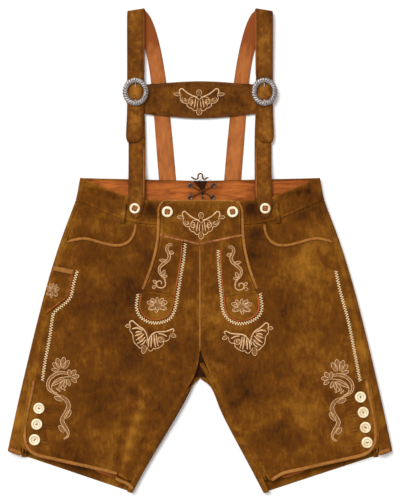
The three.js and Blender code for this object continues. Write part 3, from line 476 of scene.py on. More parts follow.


# Painted shade and painted highlights mixed with the leather's own tone: lit and shaded stripes
# along the ridge on the left leg, shadow in the troughs under the waistband and beside the flap
# piping, highlights on the straps under the buckles.
SHADE_AND_TONE_SPOTS = [   # x, y, reach in mm, and how much paler (or darker, if negative)
    (-100, 8, 26, -0.55), (-128, -70, 44, -0.35), (-132, -168, 44, -0.4), (-186, -258, 34, -0.45),
    (-166, -300, 26, -0.4), (96, -8, 22, -0.6), (150, -134, 48, -0.25), (254, -142, 28, -0.35),
    (72, -262, 34, -0.45), (150, -330, 30, -0.35), (16, -70, 14, -0.35), (-16, -60, 14, -0.2),
    (-88, 66, 16, -0.5), (92, 66, 16, -0.5), (-6, -160, 22, -0.3), (-64, -30, 20, -0.25),
    (-172, -52, 26, 0.35), (-190, 48, 30, 0.25), (-232, -24, 24, 0.25), (-336, -310, 22, 0.45),
    (-204, -326, 24, 0.3), (-182, -372, 20, 0.3), (188, -22, 28, 0.3),
    (-56, 50, 24, 0.3), (58, 46, 24, 0.25), (-78, -104, 26, 0.4), (80, -106, 26, 0.3),
    (238, -210, 26, 0.25), (200, -300, 24, 0.3), (30, -120, 12, 0.3), (-286, -180, 18, 0.3),
    (-139, -398, 8, 0.7), (-134, -378, 8, 0.8), (-128, -355, 8, 0.8), (-121, -330, 8, 0.8),
    (-114, -305, 8, 0.8), (-107, -280, 8, 0.7), (-101, -255, 8, 0.6), (-150, -378, 8, -0.5),
    (-143, -350, 9, -0.6), (-137, -320, 10, -0.6), (-128, -290, 12, -0.6), (-122, -262, 12, -0.5),
    (-119, 290, 12, 0.8), (120, 290, 12, 0.8), (-100, 36, 14, -0.4), (98, 34, 14, -0.4),
    (-104, -30, 16, -0.35), (108, -44, 14, -0.35), (-92, 78, 12, -1.0), (92, 78, 12, -1.0),
    (-176, 66, 20, -0.3), (184, 66, 20, -0.3), (-296, -300, 20, -0.1), (-196, 109, 6, -0.5),
    (-182, 106, 6, -0.6), (-168, 103, 6, -0.6), (-154, 100, 6, -0.6), (-141, 98, 6, -0.5),
    (196, 108, 6, -0.5), (180, 105, 6, -0.6), (164, 102, 6, -0.6), (148, 99, 6, -0.5),
    (-138, 68, 8, 0.8), (140, 68, 8, 0.8), (-60, 275, 42, -0.4), (60, 275, 42, -0.4),
    (0, 275, 42, -0.3), (-194, 16, 40, -0.45), (-218, -368, 38, -0.45), (204, 84, 34, -0.35),
    (-204, 90, 34, -0.3), (-16, -280, 30, -0.1), (-250, 60, 20, 0.1), (296, -190, 16, 0.4),
    (-60, -250, 22, 0.2), (-24, -100, 12, 0.25),
]


def painted_shade_and_tone(x, y):
    u, v = x / MM, y / MM
    return sum(amount * math.exp(-((u - a) ** 2 + (v - b) ** 2) / reach ** 2)
               for a, b, reach, amount in SHADE_AND_TONE_SPOTS)


# %% [markdown]
# A frame node is a plain faceted wall. To turn it into leather, its points are merged and its
# triangle pairs joined into squares; sharp edges are creased, so that subdivision rounds the
# folds but keeps the cut edges crisp. The modifier is then applied, the points are settled by
# the field above, and the two attributes are painted. A cut edge is where two faces meet
# steeply, and a k-d tree tells how near each point is to one.

# %% Turning a frame node into a soft piece
EDGE_REACH = 3.5 * MM
CREASE_ABOVE = math.radians(50)     # between two faces


def link_piece(name, mesh, materials, nodes=()):
    obj = bpy.data.objects.new(name, mesh)
    bpy.context.collection.objects.link(obj)
    for material in materials:
        mesh.materials.append(material)
    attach(obj, "root")
    if nodes:
        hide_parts(*nodes)
    return obj


def mesh_from(builder, name):
    mesh = bpy.data.meshes.new(name)
    builder.to_mesh(mesh)
    builder.free()
    return mesh


def smooth_shaded(mesh):
    for polygon in mesh.polygons:
        polygon.use_smooth = True
    return mesh


def subdivided_copy(node, levels, creased=True):
    """The node's mesh, merged, creased and subdivided."""
    builder = bmesh.new()
    builder.from_mesh(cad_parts[node].data)
    bmesh.ops.remove_doubles(builder, verts=builder.verts, dist=0.02 * MM)
    bmesh.ops.join_triangles(
        builder, faces=builder.faces, angle_face_threshold=math.radians(40),
        angle_shape_threshold=math.radians(60))
    crease = builder.edges.layers.float.new("crease_edge")
    for edge in builder.edges:
        steep = len(edge.link_faces) == 2 and edge.calc_face_angle(0) > CREASE_ABOVE
        edge[crease] = 0.9 if steep and creased else 0.0
    helper = bpy.data.objects.new("helper", mesh_from(builder, node))
    modifier = helper.modifiers.new("round", "SUBSURF")
    modifier.levels = modifier.render_levels = levels
    return smooth_shaded(evaluated_mesh(helper))


def paint(mesh, name, values):
    layer = mesh.attributes.get(name) or mesh.attributes.new(name, "FLOAT", "POINT")
    layer.data.foreach_set("value", values)


def settle_and_paint(mesh, settle=True, sharp=38):
    """Moves the upper leather by the laid height; paints edges, tone, painted shade and highlights.
    """
    builder = bmesh.new()
    builder.from_mesh(mesh)
    steep = [v.co.copy() for v in builder.verts
             if any(len(e.link_faces) == 2 and e.calc_face_angle(0) > math.radians(sharp)
                    for e in v.link_edges)]
    builder.free()
    tree = kdtree.KDTree(max(1, len(steep)))
    for index, place in enumerate(steep):
        tree.insert(place, index)
    tree.balance()
    edges, shades_and_tones = [], []
    for vertex in mesh.vertices:
        x, y, z = vertex.co
        near = tree.find(vertex.co)[2] if steep else 1.0
        edges.append(math.exp(-(near / EDGE_REACH) ** 2))
        shades_and_tones.append(painted_shade_and_tone(x, y))
        if settle:
            vertex.co.z = z + laid_height(x, y) * smooth_step(6 * MM, 13 * MM, z)
    paint(mesh, "edge", edges)
    paint(mesh, "shade_and_tone", shades_and_tones)
    mesh.update()


def cloth(node, material, levels=2, settle=True):
    mesh = subdivided_copy(node, levels)
    settle_and_paint(mesh, settle)
    obj = link_piece(f"{node}_leather", mesh, [material], [node])
    return obj


# %% [markdown]
# The big panels first: the two backs, which turn round the outer and inner folds, the two
# fronts, and the leather inside the pockets, then what is sewn on them in the same suede. The
# front pieces are subdivided most, because the folds show on them.

# %% Legs, seat and pockets
SUEDE_PANELS = {    # subdivision levels, and metres that wrap round an edge
    "back": (2, 0.07), "front": (3, 0.0), "pocket_facing": (2, 0.0), "waistband_front": (3, 0.0),
    "waistband_back": (2, 0.02), "flap_strip": (3, 0.0), "flap_foot": (3, 0.0)}
panels = {}
for side in SIDES:
    for part, (levels, wrap) in SUEDE_PANELS.items():
        panels[f"{part}_{side}"] = cloth(f"{part}_{side}", suede, levels)
panels["flap_yoke"] = cloth("flap_yoke", suede, 3)
panels["knife_pocket"] = cloth("knife_pocket", suede, 3)
# The fold between the legs and the tongue behind the lacing take the dark suede: painted shade.
panels["crotch_fold"] = cloth("crotch_fold", dark_suede, 2)
panels["back_tongue"] = cloth("back_tongue", dark_suede, 2, settle=False)
print("panels:", len(panels))

# %% [markdown]
# The lining of the back waistband is thin grain leather, eased onto the suede, so it lies in
# small lengthways puckers. They are ripples of uneven height, strongest in the middle of the
# band and quiet along its stitched edges.

# %% The puckered lining
def pucker(x, y):
    wander = noise.noise(Vector((x * 22, y * 30, 5.0))) * 0.006
    ripple = math.sin((y + wander + 0.05 * x * math.sin(x * 9)) / (2.1 * MM))
    swell = 0.5 + 0.5 * noise.noise(Vector((x * 34, y * 60, 2.0)))
    fine = noise.noise(Vector((x * 90, y * 420, 8.0)))
    quiet = smooth_step(127.5 * MM, 123 * MM, y)
    fold = math.sin((y * 0.8 + 0.012 * math.sin(x * 31 + 1.3)) / (3.6 * MM)) ** 3
    return (0.6 * ripple * swell + 0.7 * fine + 1.1 * fold * swell) * quiet * MM


for side in SIDES:
    node = f"waistband_lining_{side}"
    mesh = subdivided_copy(node, 3)
    middle = sum(v.co.z for v in mesh.vertices) / len(mesh.vertices)
    for vertex in mesh.vertices:
        if vertex.co.z > middle:
            vertex.co.z += max(-0.4 * MM, pucker(vertex.co.x, vertex.co.y)) + 0.4 * MM
    settle_and_paint(mesh, settle=False)
    panels[node] = link_piece(f"{node}_leather", mesh, [lining], [node])

# %% [markdown]
# The straps are strips of the same hide: suede outside and bare orange-tan leather inside.
# Where a strap runs up the front the suede is seen, and past the shoulder the inner side is.
# Each face of the strip is given its material by whether it looks away from the strap's own
# loop or into it. Under the buckle the strap rises over the bar, so it bulges there.

# %% Straps, chest band and belt loops
TURN_Y = 436 * MM
LOOP_MIDDLE = 4.8 * MM
BUCKLE_Y = 290.5 * MM
STRAP_X = 118 * MM
STRAP_SIDES = [strap_suede, strap_inside]
PAINTED_FOLD_SHADE_FROM_TO = (352 * MM, 420 * MM)


def two_sided(mesh, middle_height, turn_y):
    for polygon in mesh.polygons:
        x, y, z = polygon.center
        away = Vector((0, max(0.0, y - turn_y), z - middle_height))
        polygon.material_index = 0 if polygon.normal.dot(away) > 0 else 1


for side, sign in SIDES.items():
    node = f"shoulder_strap_{side}"
    mesh = subdivided_copy(node, 2)
    for vertex in mesh.vertices:
        if vertex.co.z > LOOP_MIDDLE:
            reach = math.hypot(vertex.co.x - sign * STRAP_X, vertex.co.y - BUCKLE_Y)
            vertex.co.z += 2.6 * MM * math.exp(-(reach / (11 * MM)) ** 2)
        vertex.co.z = max(vertex.co.z, 0.05 * MM)
    two_sided(mesh, LOOP_MIDDLE, TURN_Y)
    settle_and_paint(mesh, settle=False)
    # The inner side darkens towards the fold at the top of the strap: painted shade.
    paint(mesh, "shade", [-1.3 * smooth_step(*PAINTED_FOLD_SHADE_FROM_TO, v.co.y) for v in mesh.vertices])
    panels[node] = link_piece(f"{node}_leather", mesh, STRAP_SIDES, [node])

    node = f"front_strap_{side}"
    mesh = subdivided_copy(node, 2)
    for polygon in mesh.polygons:
        polygon.material_index = 0 if polygon.normal.z > -0.3 else 1
    settle_and_paint(mesh)
    panels[node] = link_piece(f"{node}_leather", mesh, STRAP_SIDES, [node])
    panels[f"belt_loop_{side}"] = cloth(f"belt_loop_{side}", strap_suede, 3)

# %% [markdown]
# The chest band is cut with pinking shears: its long edges are small teeth. Its outline is
# a shallow barrel with teeth along the middle stretch. A grid is drawn out to that outline and
# extruded to the thickness of the leather.

# %% The pinked chest band
BAND_HALF = 112 * MM
BAND_TOP = (303, 311.5)         # at the ends and in the middle, in mm
BAND_BOTTOM = (253, 241.5)
BAND_ROWS = 8
TOOTH = 3.3 * MM
TOOTH_DEPTH = 1.7
PINKED_HALF = 78 * MM
band_low, band_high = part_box("chest_band")


def band_edge(x, top):
    share = 1 - (abs(x) / BAND_HALF) ** 1.7
    plain = mix_value(*(BAND_TOP if top else BAND_BOTTOM), share)
    tooth = abs((x / TOOTH) % 1 - 0.5) * 2
    strength = 1 - smooth_step(PINKED_HALF, PINKED_HALF + 10 * MM, abs(x))
    cut = TOOTH_DEPTH * tooth * strength
    return (plain - cut if top else plain + cut) * MM


def mix_value(a, b, share):
    return a + (b - a) * share


def chest_band():
    steps = int(2 * BAND_HALF / (TOOTH / 2))
    builder = bmesh.new()
    bmesh.ops.create_grid(builder, x_segments=steps, y_segments=BAND_ROWS, size=1)
    for vertex in builder.verts:
        x, share = vertex.co.x * BAND_HALF, (1 + math.sin(vertex.co.y * math.pi / 2)) / 2
        vertex.co = (x, mix_value(band_edge(x, False), band_edge(x, True), share), band_low[2])
    base = builder.faces[:]
    raised = bmesh.ops.extrude_face_region(builder, geom=base)
    lifted = [g for g in raised["geom"] if isinstance(g, bmesh.types.BMVert)]
    bmesh.ops.translate(builder, vec=(0, 0, band_high[2] - band_low[2]), verts=lifted)
    for vertex in builder.verts:
        x, y, _ = vertex.co
        vertex.co.z += 0.35 * MM * noise.noise(Vector((x * 30, y * 40, 4.0)))
    bmesh.ops.recalc_face_normals(builder, faces=builder.faces)
    mesh = mesh_from(builder, "chest_band_leather")
    settle_and_paint(mesh, settle=False)
    return mesh


panels["chest_band"] = link_piece(
    "chest_band_leather", chest_band(), [strap_suede], ["chest_band"])

# %% [markdown]
# Piping is a strip of leather rolled round a cord and sewn into the edge. The frame already
# has it as a rounded bead; without creases the subdivision turns it into a soft roll, which
# is then settled on the laid height like the leather round it.

# %% Piping and bindings
def rolled(node, levels=2, material=None, sharp=False):
    mesh = subdivided_copy(node, levels, creased=sharp)
    settle_and_paint(mesh)
    return link_piece(f"{node}_roll", mesh, [material or piping], [node])


rolls = [f"{name}_{side}" for name in ("pocket_piping", "flap_piping", "hem_piping")
         for side in SIDES]
for node in rolls + ["hem_piping_left_end", "centre_seam_piping"]:
    panels[node] = rolled(node)
for node in ("back_hem_binding_left", "back_hem_binding_right"):
    panels[node] = rolled(node, 3, piping, sharp=True)
panels["knife_pocket_binding"] = rolled("knife_pocket_binding", 3, piping, sharp=True)

# %% [markdown]
# What is sewn on the leather has to follow it. All finished panels go into one search tree,
# and a ray cast straight down finds the leather's height at any place.

# %% Finding the leather's height
SKY = 0.06


def surface_tree(objects):
    builder = bmesh.new()
    for obj in objects:
        builder.from_mesh(obj.data)
    tree = BVHTree.FromBMesh(builder)
    builder.free()
    return tree


surface = surface_tree(panels.values())


def height_at(x, y):
    hit = surface.ray_cast(Vector((x, y, SKY)), Vector((0, 0, -1)))[0]
    return hit.z if hit else 0.0


# %% [markdown]
# Every thread is drawn in plan as a line through a few given points, in millimetres. One
# curve holds all the lines of a piece, each point with its own radius, so that a bevel makes
# them round cords. The result becomes a mesh, is pressed flatter, and is laid on the
# leather point by point. The attribute "wrap" counts the turns of the thread along each line,
# and the thread materials read it for their fine slanting grooves.

# %% Laying threads on the leather
def plan_line(points, between=4):
    """A smooth line through plan points, in mm; a third number is a height over the leather."""
    spots = [Vector((p[0], p[1], p[2] if len(p) > 2 else 0.0)) for p in points]
    return smooth_line(spots, between) if len(spots) > 2 and between else spots


def sewn(name, lines, material, flatness=0.6, sink=0.0, sides=6, pitch=0.9,
         taper=0.45):
    """lines holds (width, smooth plan line), both in mm."""
    tubes, wraps = [], []
    for width, line in lines:
        tube, travelled = [], 0.0
        for index, place in enumerate(line):
            share = index / (len(line) - 1)
            end = min(1.0, taper + (1 - taper) * math.sin(math.pi * share) ** 0.5 * 1.15)
            tube.append((place * MM, width / 2 * MM * end))
            travelled += (place - line[index - 1]).length if index else 0.0
            wraps += [travelled / pitch + side / sides for side in range(sides)]
        tubes.append(tube)
    mesh = tube_mesh(name, tubes, sides)
    for vertex in mesh.vertices:
        x, y, z = vertex.co
        vertex.co.z = max(0.0, height_at(x, y) + sink * MM + z * flatness)
    if len(wraps) == len(mesh.vertices):
        paint(mesh, "wrap", wraps)
    smooth_shaded(mesh).update()
    return link_piece(name, mesh, [material])


def side_steps(line, spacing):
    """Places along a line at even spacing, with the direction there."""
    places, left = [], 0.0
    for a, b in zip(line, line[1:]):
        length = (b - a).length
        while left < length:
            places.append((a.lerp(b, left / length), (b - a).normalized()))
            left += spacing
        left -= length
    return places


def across(direction):
    return Vector((-direction.y, direction.x, 0))


def zigzag(points, half_width=2.9, half_period=2.35, width=1.1):
    """Slanting stitches that meet at their ends."""
    corners = []
    for index, (place, direction) in enumerate(side_steps(plan_line(points, 8), half_period)):
        corners.append(place + across(direction) * half_width * (1 if index % 2 else -1))
    rise = Vector((0, 0, 0.25))
    return [(width, [a, (a + b) / 2 + rise, b]) for a, b in zip(corners, corners[1:])]


def stitches(points, length=2.4, gap=1.3, width=0.8, smooth=8):
    row = []
    for place, direction in side_steps(plan_line(points, smooth), length + gap):
        row.append((width, [place, place + direction * length / 2 + Vector((0, 0, 0.15)),
                            place + direction * length]))
    return row


def twisted(points, half_width=1.0, turn=4.4):
    """Two strands wound round each other."""
    strands = []
    for start in (0.0, math.pi):
        strand = []
        for index, (place, direction) in enumerate(side_steps(plan_line(points, 8), turn / 8)):
            angle = start + index * math.pi / 4
            strand.append(place + across(direction) * half_width * math.cos(angle)
                          + Vector((0, 0, 0.5 + half_width * 0.7 * math.sin(angle))))
        strands.append((1.7, strand))
    return strands


def mirrored(points):
    return [(-p[0], *p[1:]) for p in points]


# %% [markdown]
# The embroidery is folk scrollwork: buds, feathers, curls and stems, as is common on such
# breeches. It is worked in pale beige silk over a padding of darker thread, so each
# shape is a broad, low mound with a thin pale cord round it. A motif is a list of such
# strokes round its own middle; a left motif is mirrored for the right.

# %% The parts of a motif
def bud(x, y, length, width, angle):
    """A closed bud with its root at x, y, pointing along the angle in degrees."""
    turn = math.radians(angle)
    ahead, aside = (math.cos(turn), math.sin(turn)), (-math.sin(turn), math.cos(turn))
    outline = []
    for along, out in ((0.02, 0.1), (0.25, 0.4), (0.6, 0.5), (0.9, 0.28), (1, 0), (0.9, -0.28),
                       (0.6, -0.5), (0.25, -0.4), (0.02, -0.1)):
        outline.append((x + ahead[0] * length * along + aside[0] * width * out,
                        y + ahead[1] * length * along + aside[1] * width * out))
    middle = [(x + ahead[0] * length * t, y + ahead[1] * length * t) for t in (0.12, 0.5, 0.85)]
    return [("cord", 1.5, outline), ("fill", width * 0.8, middle)]


def feather(points, width):
    return [("cord", width, points)]


def stem(points, width):
    """Two cords side by side with padding between them."""
    line = plan_line(points, 4)
    strokes = [("fill", width, points)]
    for side in (-1, 1):
        edge = []
        for index, place in enumerate(line):
            share = index / (len(line) - 1)
            ahead = (line[min(index + 1, len(line) - 1)] - line[max(index - 1, 0)]).normalized()
            bulge = math.sin(math.pi * min(1, share * 1.15 + 0.08))
            reach = width / 2 * (0.35 + 0.65 * bulge ** 0.5)
            edge.append(tuple(place + across(ahead) * reach * side))
        strokes.append(("cord", 1.5, edge[::2] + [edge[-1]]))
    return strokes


def curl(x, y, radius, start, turns, width=1.7):
    """A spiral that winds in towards its middle; positive turns go anticlockwise."""
    points = []
    count = int(abs(turns) * 8) + 1
    for index in range(count + 1):
        share = index / count
        angle = math.radians(start) + turns * 2 * math.pi * share
        reach = radius * (1 - 0.8 * share)
        points.append((x + reach * math.cos(angle), y + reach * math.sin(angle)))
    return [("cord", width, points)]


# %% [markdown]
# The crest sits on the yoke and on the chest band: a bud on top, two arms that sweep up to
# curled tips, wings with a scalloped border filled with petals, and a hanging bud.

# %% The crest
def crest():
    strokes = bud(0, 9.5, 12, 9, 90) + bud(0, -14, 14.5, 9.5, -90)
    for side in (-1, 1):
        half = feather([(1, 3), (8, 8), (18, 13.5), (25, 19.5), (29.5, 23.5), (33.5, 21.5),
                        (34, 16.5), (32, 12.5)], 3.2)
        half += bud(31, 11.5, 12.5, 6, 8)
        half += [("cord", 2.0, [(31, 11.5), (33, 5), (31, -1), (26, -5), (21, -5.5), (21, -10),
                                (17, -14), (12.5, -15.5), (9.5, -19.5), (5, -19.5), (2.5, -16)])]
        half += [("fill", 9, [(26, 2), (16, -3), (6, -5)])]
        half += feather([(2.2, 0), (3, -8), (3.4, -14)], 2.2)
        half += feather([(6, 4), (7, -4), (8.5, -14)], 2.6)
        half += feather([(4, 8), (14, 6.5), (19, 1)], 1.8)
        half += curl(14, -3, 6.2, 120, -1.2) + curl(25.5, 2.5, 5, 60, -1.1)
        half += feather([(12, 3), (12, -4), (14.5, -11)], 2.2)
        half += [("cord", 1.6, [(0.6, 1), (3, 5), (6, 8.5)]),
                 ("cord", 1.4, [(8, 10), (6, 8), (2, 9)])]
        strokes += [(kind, width, mirrored(points) if side < 0 else points)
                    for kind, width, points in half]
    return strokes


# %% [markdown]
# Below each foot of the flap lies a pair of feathered wings that meet in a hanging bud. The
# outer wing is short and steep; the inner one is long, with a spiral in it.

# %% The wings
def wings():
    strokes = bud(-1.5, -21, 16, 9, -97)
    strokes += feather([(2.5, -18), (4, -9), (1.5, 0), (-4, 8), (-12, 13), (-19, 19), (-23.5, 22.5),
                        (-28, 20.5), (-28, 15), (-26.5, 11.5)], 3.2)
    strokes += bud(-26.5, 13, 9.5, 6, 178)
    strokes += [("cord", 2.0, [(-27.5, 11), (-28, 5), (-23, -2), (-22, -10), (-20, -17), (-15, -22),
                               (-10, -27), (-5, -26)])]
    strokes += [("fill", 11, [(-14, 4), (-9, -6), (-7, -16)])]
    for ends, width in ((((-4, 5), (-15, 9.5), (-24, 7.5)), 3.6),
                        (((-6, 2), (-13, 3), (-18, 0.5)), 3),
                        (((-5, 0), (-11, -2), (-19, -5)), 3),
                        (((-2, -1), (-8, -7), (-17, -13)), 3.4),
                        (((0, -7), (-6, -14), (-15, -19)), 3.4),
                        (((1, -12), (-3, -18), (-9, -22)), 2.8)):
        strokes += feather(ends, width)
    strokes += feather([(5, -20), (6.5, -11), (12, -3), (18, 1), (28, 2.5), (38, 3), (46, 6),
                        (50, 7.5), (52.5, 5), (50, 1.5)], 3.2)
    strokes += bud(46, -2.5, 10.5, 6.5, -20)
    strokes += [("cord", 2.0, [(45, -3), (44, -10), (40, -14), (34, -15), (33, -20), (29, -24),
                               (24, -27), (19, -29), (15, -28), (12, -32), (7, -32), (3, -26)])]
    strokes += [("fill", 12, [(33, -8), (22, -12), (10, -16)])]
    strokes += curl(28, -11, 6.8, 30, -1.35, 2.0)
    for ends, width in ((((24, -1), (32, -2), (40, -6)), 3.2),
                        (((16, -2), (17, -14), (19, -26)), 3.4),
                        (((12, -4), (11, -15), (10.5, -26)), 3.4),
                        (((8, -9), (6, -17), (5.5, -26)), 2.8),
                        (((20, -2), (21.5, -14), (24, -24)), 2.8)):
        strokes += feather(ends, width)
    return strokes


# %% [markdown]
# A vine climbs each strip of the flap: one stem in an S, with buds to either side and a curl at
# its lower end. The foot below it carries a round palmette, and the knife pocket a smaller one.

# %% The vine and the palmette
def vine():
    strokes = stem([(16, 38), (10, 38.5), (6, 34), (6, 28), (9, 23), (10, 16), (7, 10), (1, 5),
                    (-4, 1), (-8, -4), (-8, -11), (-5, -17), (-1, -21), (2, -26), (3, -32)], 5)
    strokes += [("cord", 2.6, [(3, -30), (2.5, -36), (-2, -40), (-8, -40), (-13, -36), (-13, -30),
                               (-8, -27.5), (-4, -30), (-5, -34)])]
    for x, y, length, width, angle in ((9, 25, 9, 6, -10), (6, 8, 14, 5, 168),
                                       (-3, -17, 10, 5.5, 62), (-4, -20, 10, 5, 8),
                                       (-13, -32, 8, 5, 140), (-14, -36, 8, 5, 215)):
        strokes += bud(x, y, length, width, angle)
    return strokes


def palmette():
    strokes = [("fill", 10, [(-9, 0), (0, -1), (9, 0)])]
    for x, y, length, width, angle in (
            (-3, 2, 13, 6, 128), (4, 2, 12, 6, 58), (-3, 1, 16, 8, 165), (4, 1, 15, 8, 18),
            (-3, -3, 14, 7, 205), (4, -3, 14, 7, -25), (0, -3, 12, 6, -100), (0, 3, 11, 5, 92)):
        strokes += bud(x, y, length, width, angle)
    strokes += curl(-9, 2, 4.5, 200, -1.1, 1.5) + curl(10, 0, 4.5, -20, 1.1, 1.5)
    strokes += [("cord", 1.5,
                 [(-16, -6), (-9, -10), (-3, -8), (0, -11), (4, -8), (10, -10), (16, -6)])]
    return strokes


# %% [markdown]
# The corner of each leg carries the largest motif: two heads of petals and a spray of berries
# on a stem that bends back and then falls in an S, with three leaves on it.

# %% The flower on its stem
def flower():
    strokes = stem([(10, 45), (-1, 47), (-12, 45), (-23, 37), (-28, 26), (-25, 15), (-14, 8),
                    (-3, 3)], 5)
    strokes += [("cord", 1.8,
                 [(18, 39), (6, 39), (-6, 37), (-16, 31), (-21, 22), (-19, 14), (-10, 9)])]
    strokes += stem([(-3, 3), (6, -4), (10, -15), (4, -29), (-2, -40), (3, -51), (9, -62), (8, -70),
                     (1, -74)], 7)
    strokes += bud(0, -4, 17, 7, 158) + bud(3, -37, 18, 8, 52) + bud(2, -62, 15, 7.5, 128)
    for x, y, length, width, angle in (
            (-6, 53, 17, 8, 138), (-5, 54, 20, 9, 108), (-2, 54, 21, 9, 80), (0, 53, 19, 8, 56),
            (-7, 50, 14, 6, 168), (12, 40, 12, 7, 95), (15, 42, 12, 7.5, 48), (17, 40, 12, 7, 2),
            (15, 37, 12, 6.5, -38), (3, 36, 26, 5, -152), (4, 35, 20, 5, -125), (5, 35, 16, 5, -98),
            (7, 36, 14, 5.5, -68)):
        strokes += bud(x, y, length, width, angle)
    for x, y in ((-10, 17), (-6, 14), (-2, 18), (3, 16)):
        strokes += curl(x, y, 2.4, 90, 0.9, 1.6)
    return strokes


# %% Sewing the motifs on
def moved(strokes, x, y, flip=False, size=(1.0, 1.0), turn=0.0):
    cos, sin = math.cos(math.radians(turn)), math.sin(math.radians(turn))
    out = []
    for kind, width, points in strokes:
        places = []
        for p in points:
            u, v = p[0] * size[0] * (-1 if flip else 1), p[1] * size[1]
            places.append((x + u * cos - v * sin, y + u * sin + v * cos))
        out.append((kind, width * min(size) * (0.78 if kind == "cord" else 0.9), places))
    return out


MOTIFS = {
    "yoke_crest": moved(crest(), 2, 48.5, size=(1.0, 0.97)),
    "chest_crest": moved(crest(), -1.5, 275, size=(1.06, 0.93)),
    "wings_left": moved(wings(), -100, -151), "wings_right": moved(wings(), 97, -155, flip=True),
    "vine_left": moved(vine(), -66, -28), "vine_right": moved(vine(), 67, -32, flip=True),
    "palmette_left": moved(palmette(), -78, -99, size=(1.0, 0.95)),
    "palmette_right": moved(palmette(), 76, -102, flip=True, size=(1.0, 0.95)),
    "palmette_pocket": moved(palmette(), -269, -73, size=(0.62, 0.95), turn=-8),
    "flower_left": moved(flower(), -250, -270),
    "flower_right": moved(flower(), 251, -274, flip=True),
}
for name, strokes in MOTIFS.items():
    cords = [(width, plan_line(points)) for kind, width, points in strokes if kind == "cord"]
    fills = [(width, plan_line(points)) for kind, width, points in strokes if kind == "fill"]
    sewn(f"{name}_silk", cords, embroidery_cord, flatness=0.85, sink=0.35)
    sewn(f"{name}_padding", fills, embroidery_fill, flatness=0.16, sides=8, sink=0.05)
print("motifs sewn on:", len(MOTIFS))

# %% [markdown]
# Cream zigzag stitching runs round the feet of the flap, up its strips, and down the outside
# of both legs. It is a row of slanting stitches from side to side of its path, and each stitch
# is its own short cord, so that the teeth stay sharp.

# %% Zigzag, rope stitch and red edging
ZIGZAGS = {
    "left": [[(-27, 13), (-30, -17), (-34.5, -42), (-40, -76), (-46, -108), (-58, -127),
              (-84, -132.5), (-106, -124), (-116, -105), (-113, -78)],
             [(-224, -37), (-231, -61), (-238, -88), (-264, -111), (-269, -120), (-274, -155),
              (-284, -209), (-288, -240)]],
    "right": [[(33, 1), (35, -42), (38.5, -79), (41.5, -108), (51, -125), (67, -133.5), (86, -132),
               (104, -123), (113, -107), (110, -78)],
              [(248, -37), (257, -78), (270, -125), (280, -174), (293, -241)]],
}
RED_EDGES = {
    "left": [(-33, 10), (-35, -17), (-39.5, -42), (-45, -76), (-51, -106), (-61, -121.5),
             (-83, -127), (-101, -120), (-110, -103), (-107, -78)],
    "right": [(38, 2), (39.5, -42), (43.5, -79), (46.5, -106), (55, -120), (68, -128), (85, -127),
              (99, -119), (107.5, -105), (105, -78)],
}
YOKE_SEAM = [(-73, 28), (-50, 23), (-24, 17), (0, 12.5), (24, 17), (50, 23), (76, 28)]
for side in SIDES:
    sewn(f"zigzag_{side}", sum((zigzag(path) for path in ZIGZAGS[side]), []), cream_thread,
         flatness=0.8, sink=0.35, taper=0.8)
    sewn(f"red_edge_{side}", [(2.1, plan_line(RED_EDGES[side], 8))], red_edge,
         flatness=0.6, sink=0.1, taper=0.9)
FOOT_SEAMS = {
    "left": [[(-104, -74), (-90, -73), (-70, -76), (-44, -79)],
             [(-106, -80), (-90, -79), (-70, -82), (-46, -85)]],
    "right": [[(43, -78), (62, -75), (84, -72), (104, -73)],
              [(45, -84), (62, -81), (84, -78), (106, -79)]],
}
for side in SIDES:
    sewn(f"foot_seam_{side}", [(3.6, plan_line(path, 8)) for path in FOOT_SEAMS[side]],
         suede, flatness=0.6, sink=-0.2, sides=8, taper=0.7)
POCKET_EDGE = [(-231, -38), (-236, -60), (-242, -83), (-250, -91), (-267, -103), (-284, -114)]
sewn("pocket_edge", [(1.9, plan_line(POCKET_EDGE, 3))], red_edge,
     flatness=0.6, sink=0.1, taper=0.9)
sewn("yoke_rope_stitch", twisted(YOKE_SEAM), rope_thread, flatness=0.8, taper=1.0)

# %% [markdown]
# Between the front panels and the back, which wraps round the hip and the inside leg, the
# cut edges only just meet. On the real breeches a sewn-in welt closes each seam. Rays cast
# across a seam find where the leather drops away, and a flat roll of suede is laid there.

# %% Welts in the side seams and inside legs
SEAM_DROP = 12.5 * MM
WELT_REACHES = (-5, -3.5, 3.5, 5)   # how far to each side the leather's height is looked up, mm
WELT_SINK = 0.9 * MM
WELT_FLATNESS = 0.35


def seam_places(start, end, count, search=14, step=0.25):
    """Middles of the gap near a line in plan, from start to end, in mm."""
    places = []
    outward = 1 if start[0] > 0 else -1
    for index in range(count + 1):
        x, y = (mix_value(a, b, index / count) for a, b in zip(start, end))
        open_at, reached = None, -search
        while reached < search:
            over_leather = height_at((x + reached * outward) * MM, y * MM) > SEAM_DROP
            if not over_leather and open_at is None:
                open_at = reached
            if over_leather and open_at is not None:
                if reached > -search + 1 and open_at > -search:
                    places.append((x + outward * (open_at + reached) / 2, y))
                break
            reached += step
    return places


def welt(name, places, width=5.0):
    tube = [(Vector((x, y, 0)) * MM, width / 2 * MM) for x, y in places]
    mesh = tube_mesh(name, [tube], 8)
    for vertex in mesh.vertices:
        x, y, z = vertex.co
        around = [height_at(x + reach * MM, y) for reach in WELT_REACHES]
        vertex.co.z = max(0.0, max(around) - WELT_SINK + z * WELT_FLATNESS)
    settle_and_paint(mesh, settle=False, sharp=80)
    return link_piece(name, smooth_shaded(mesh), [suede])


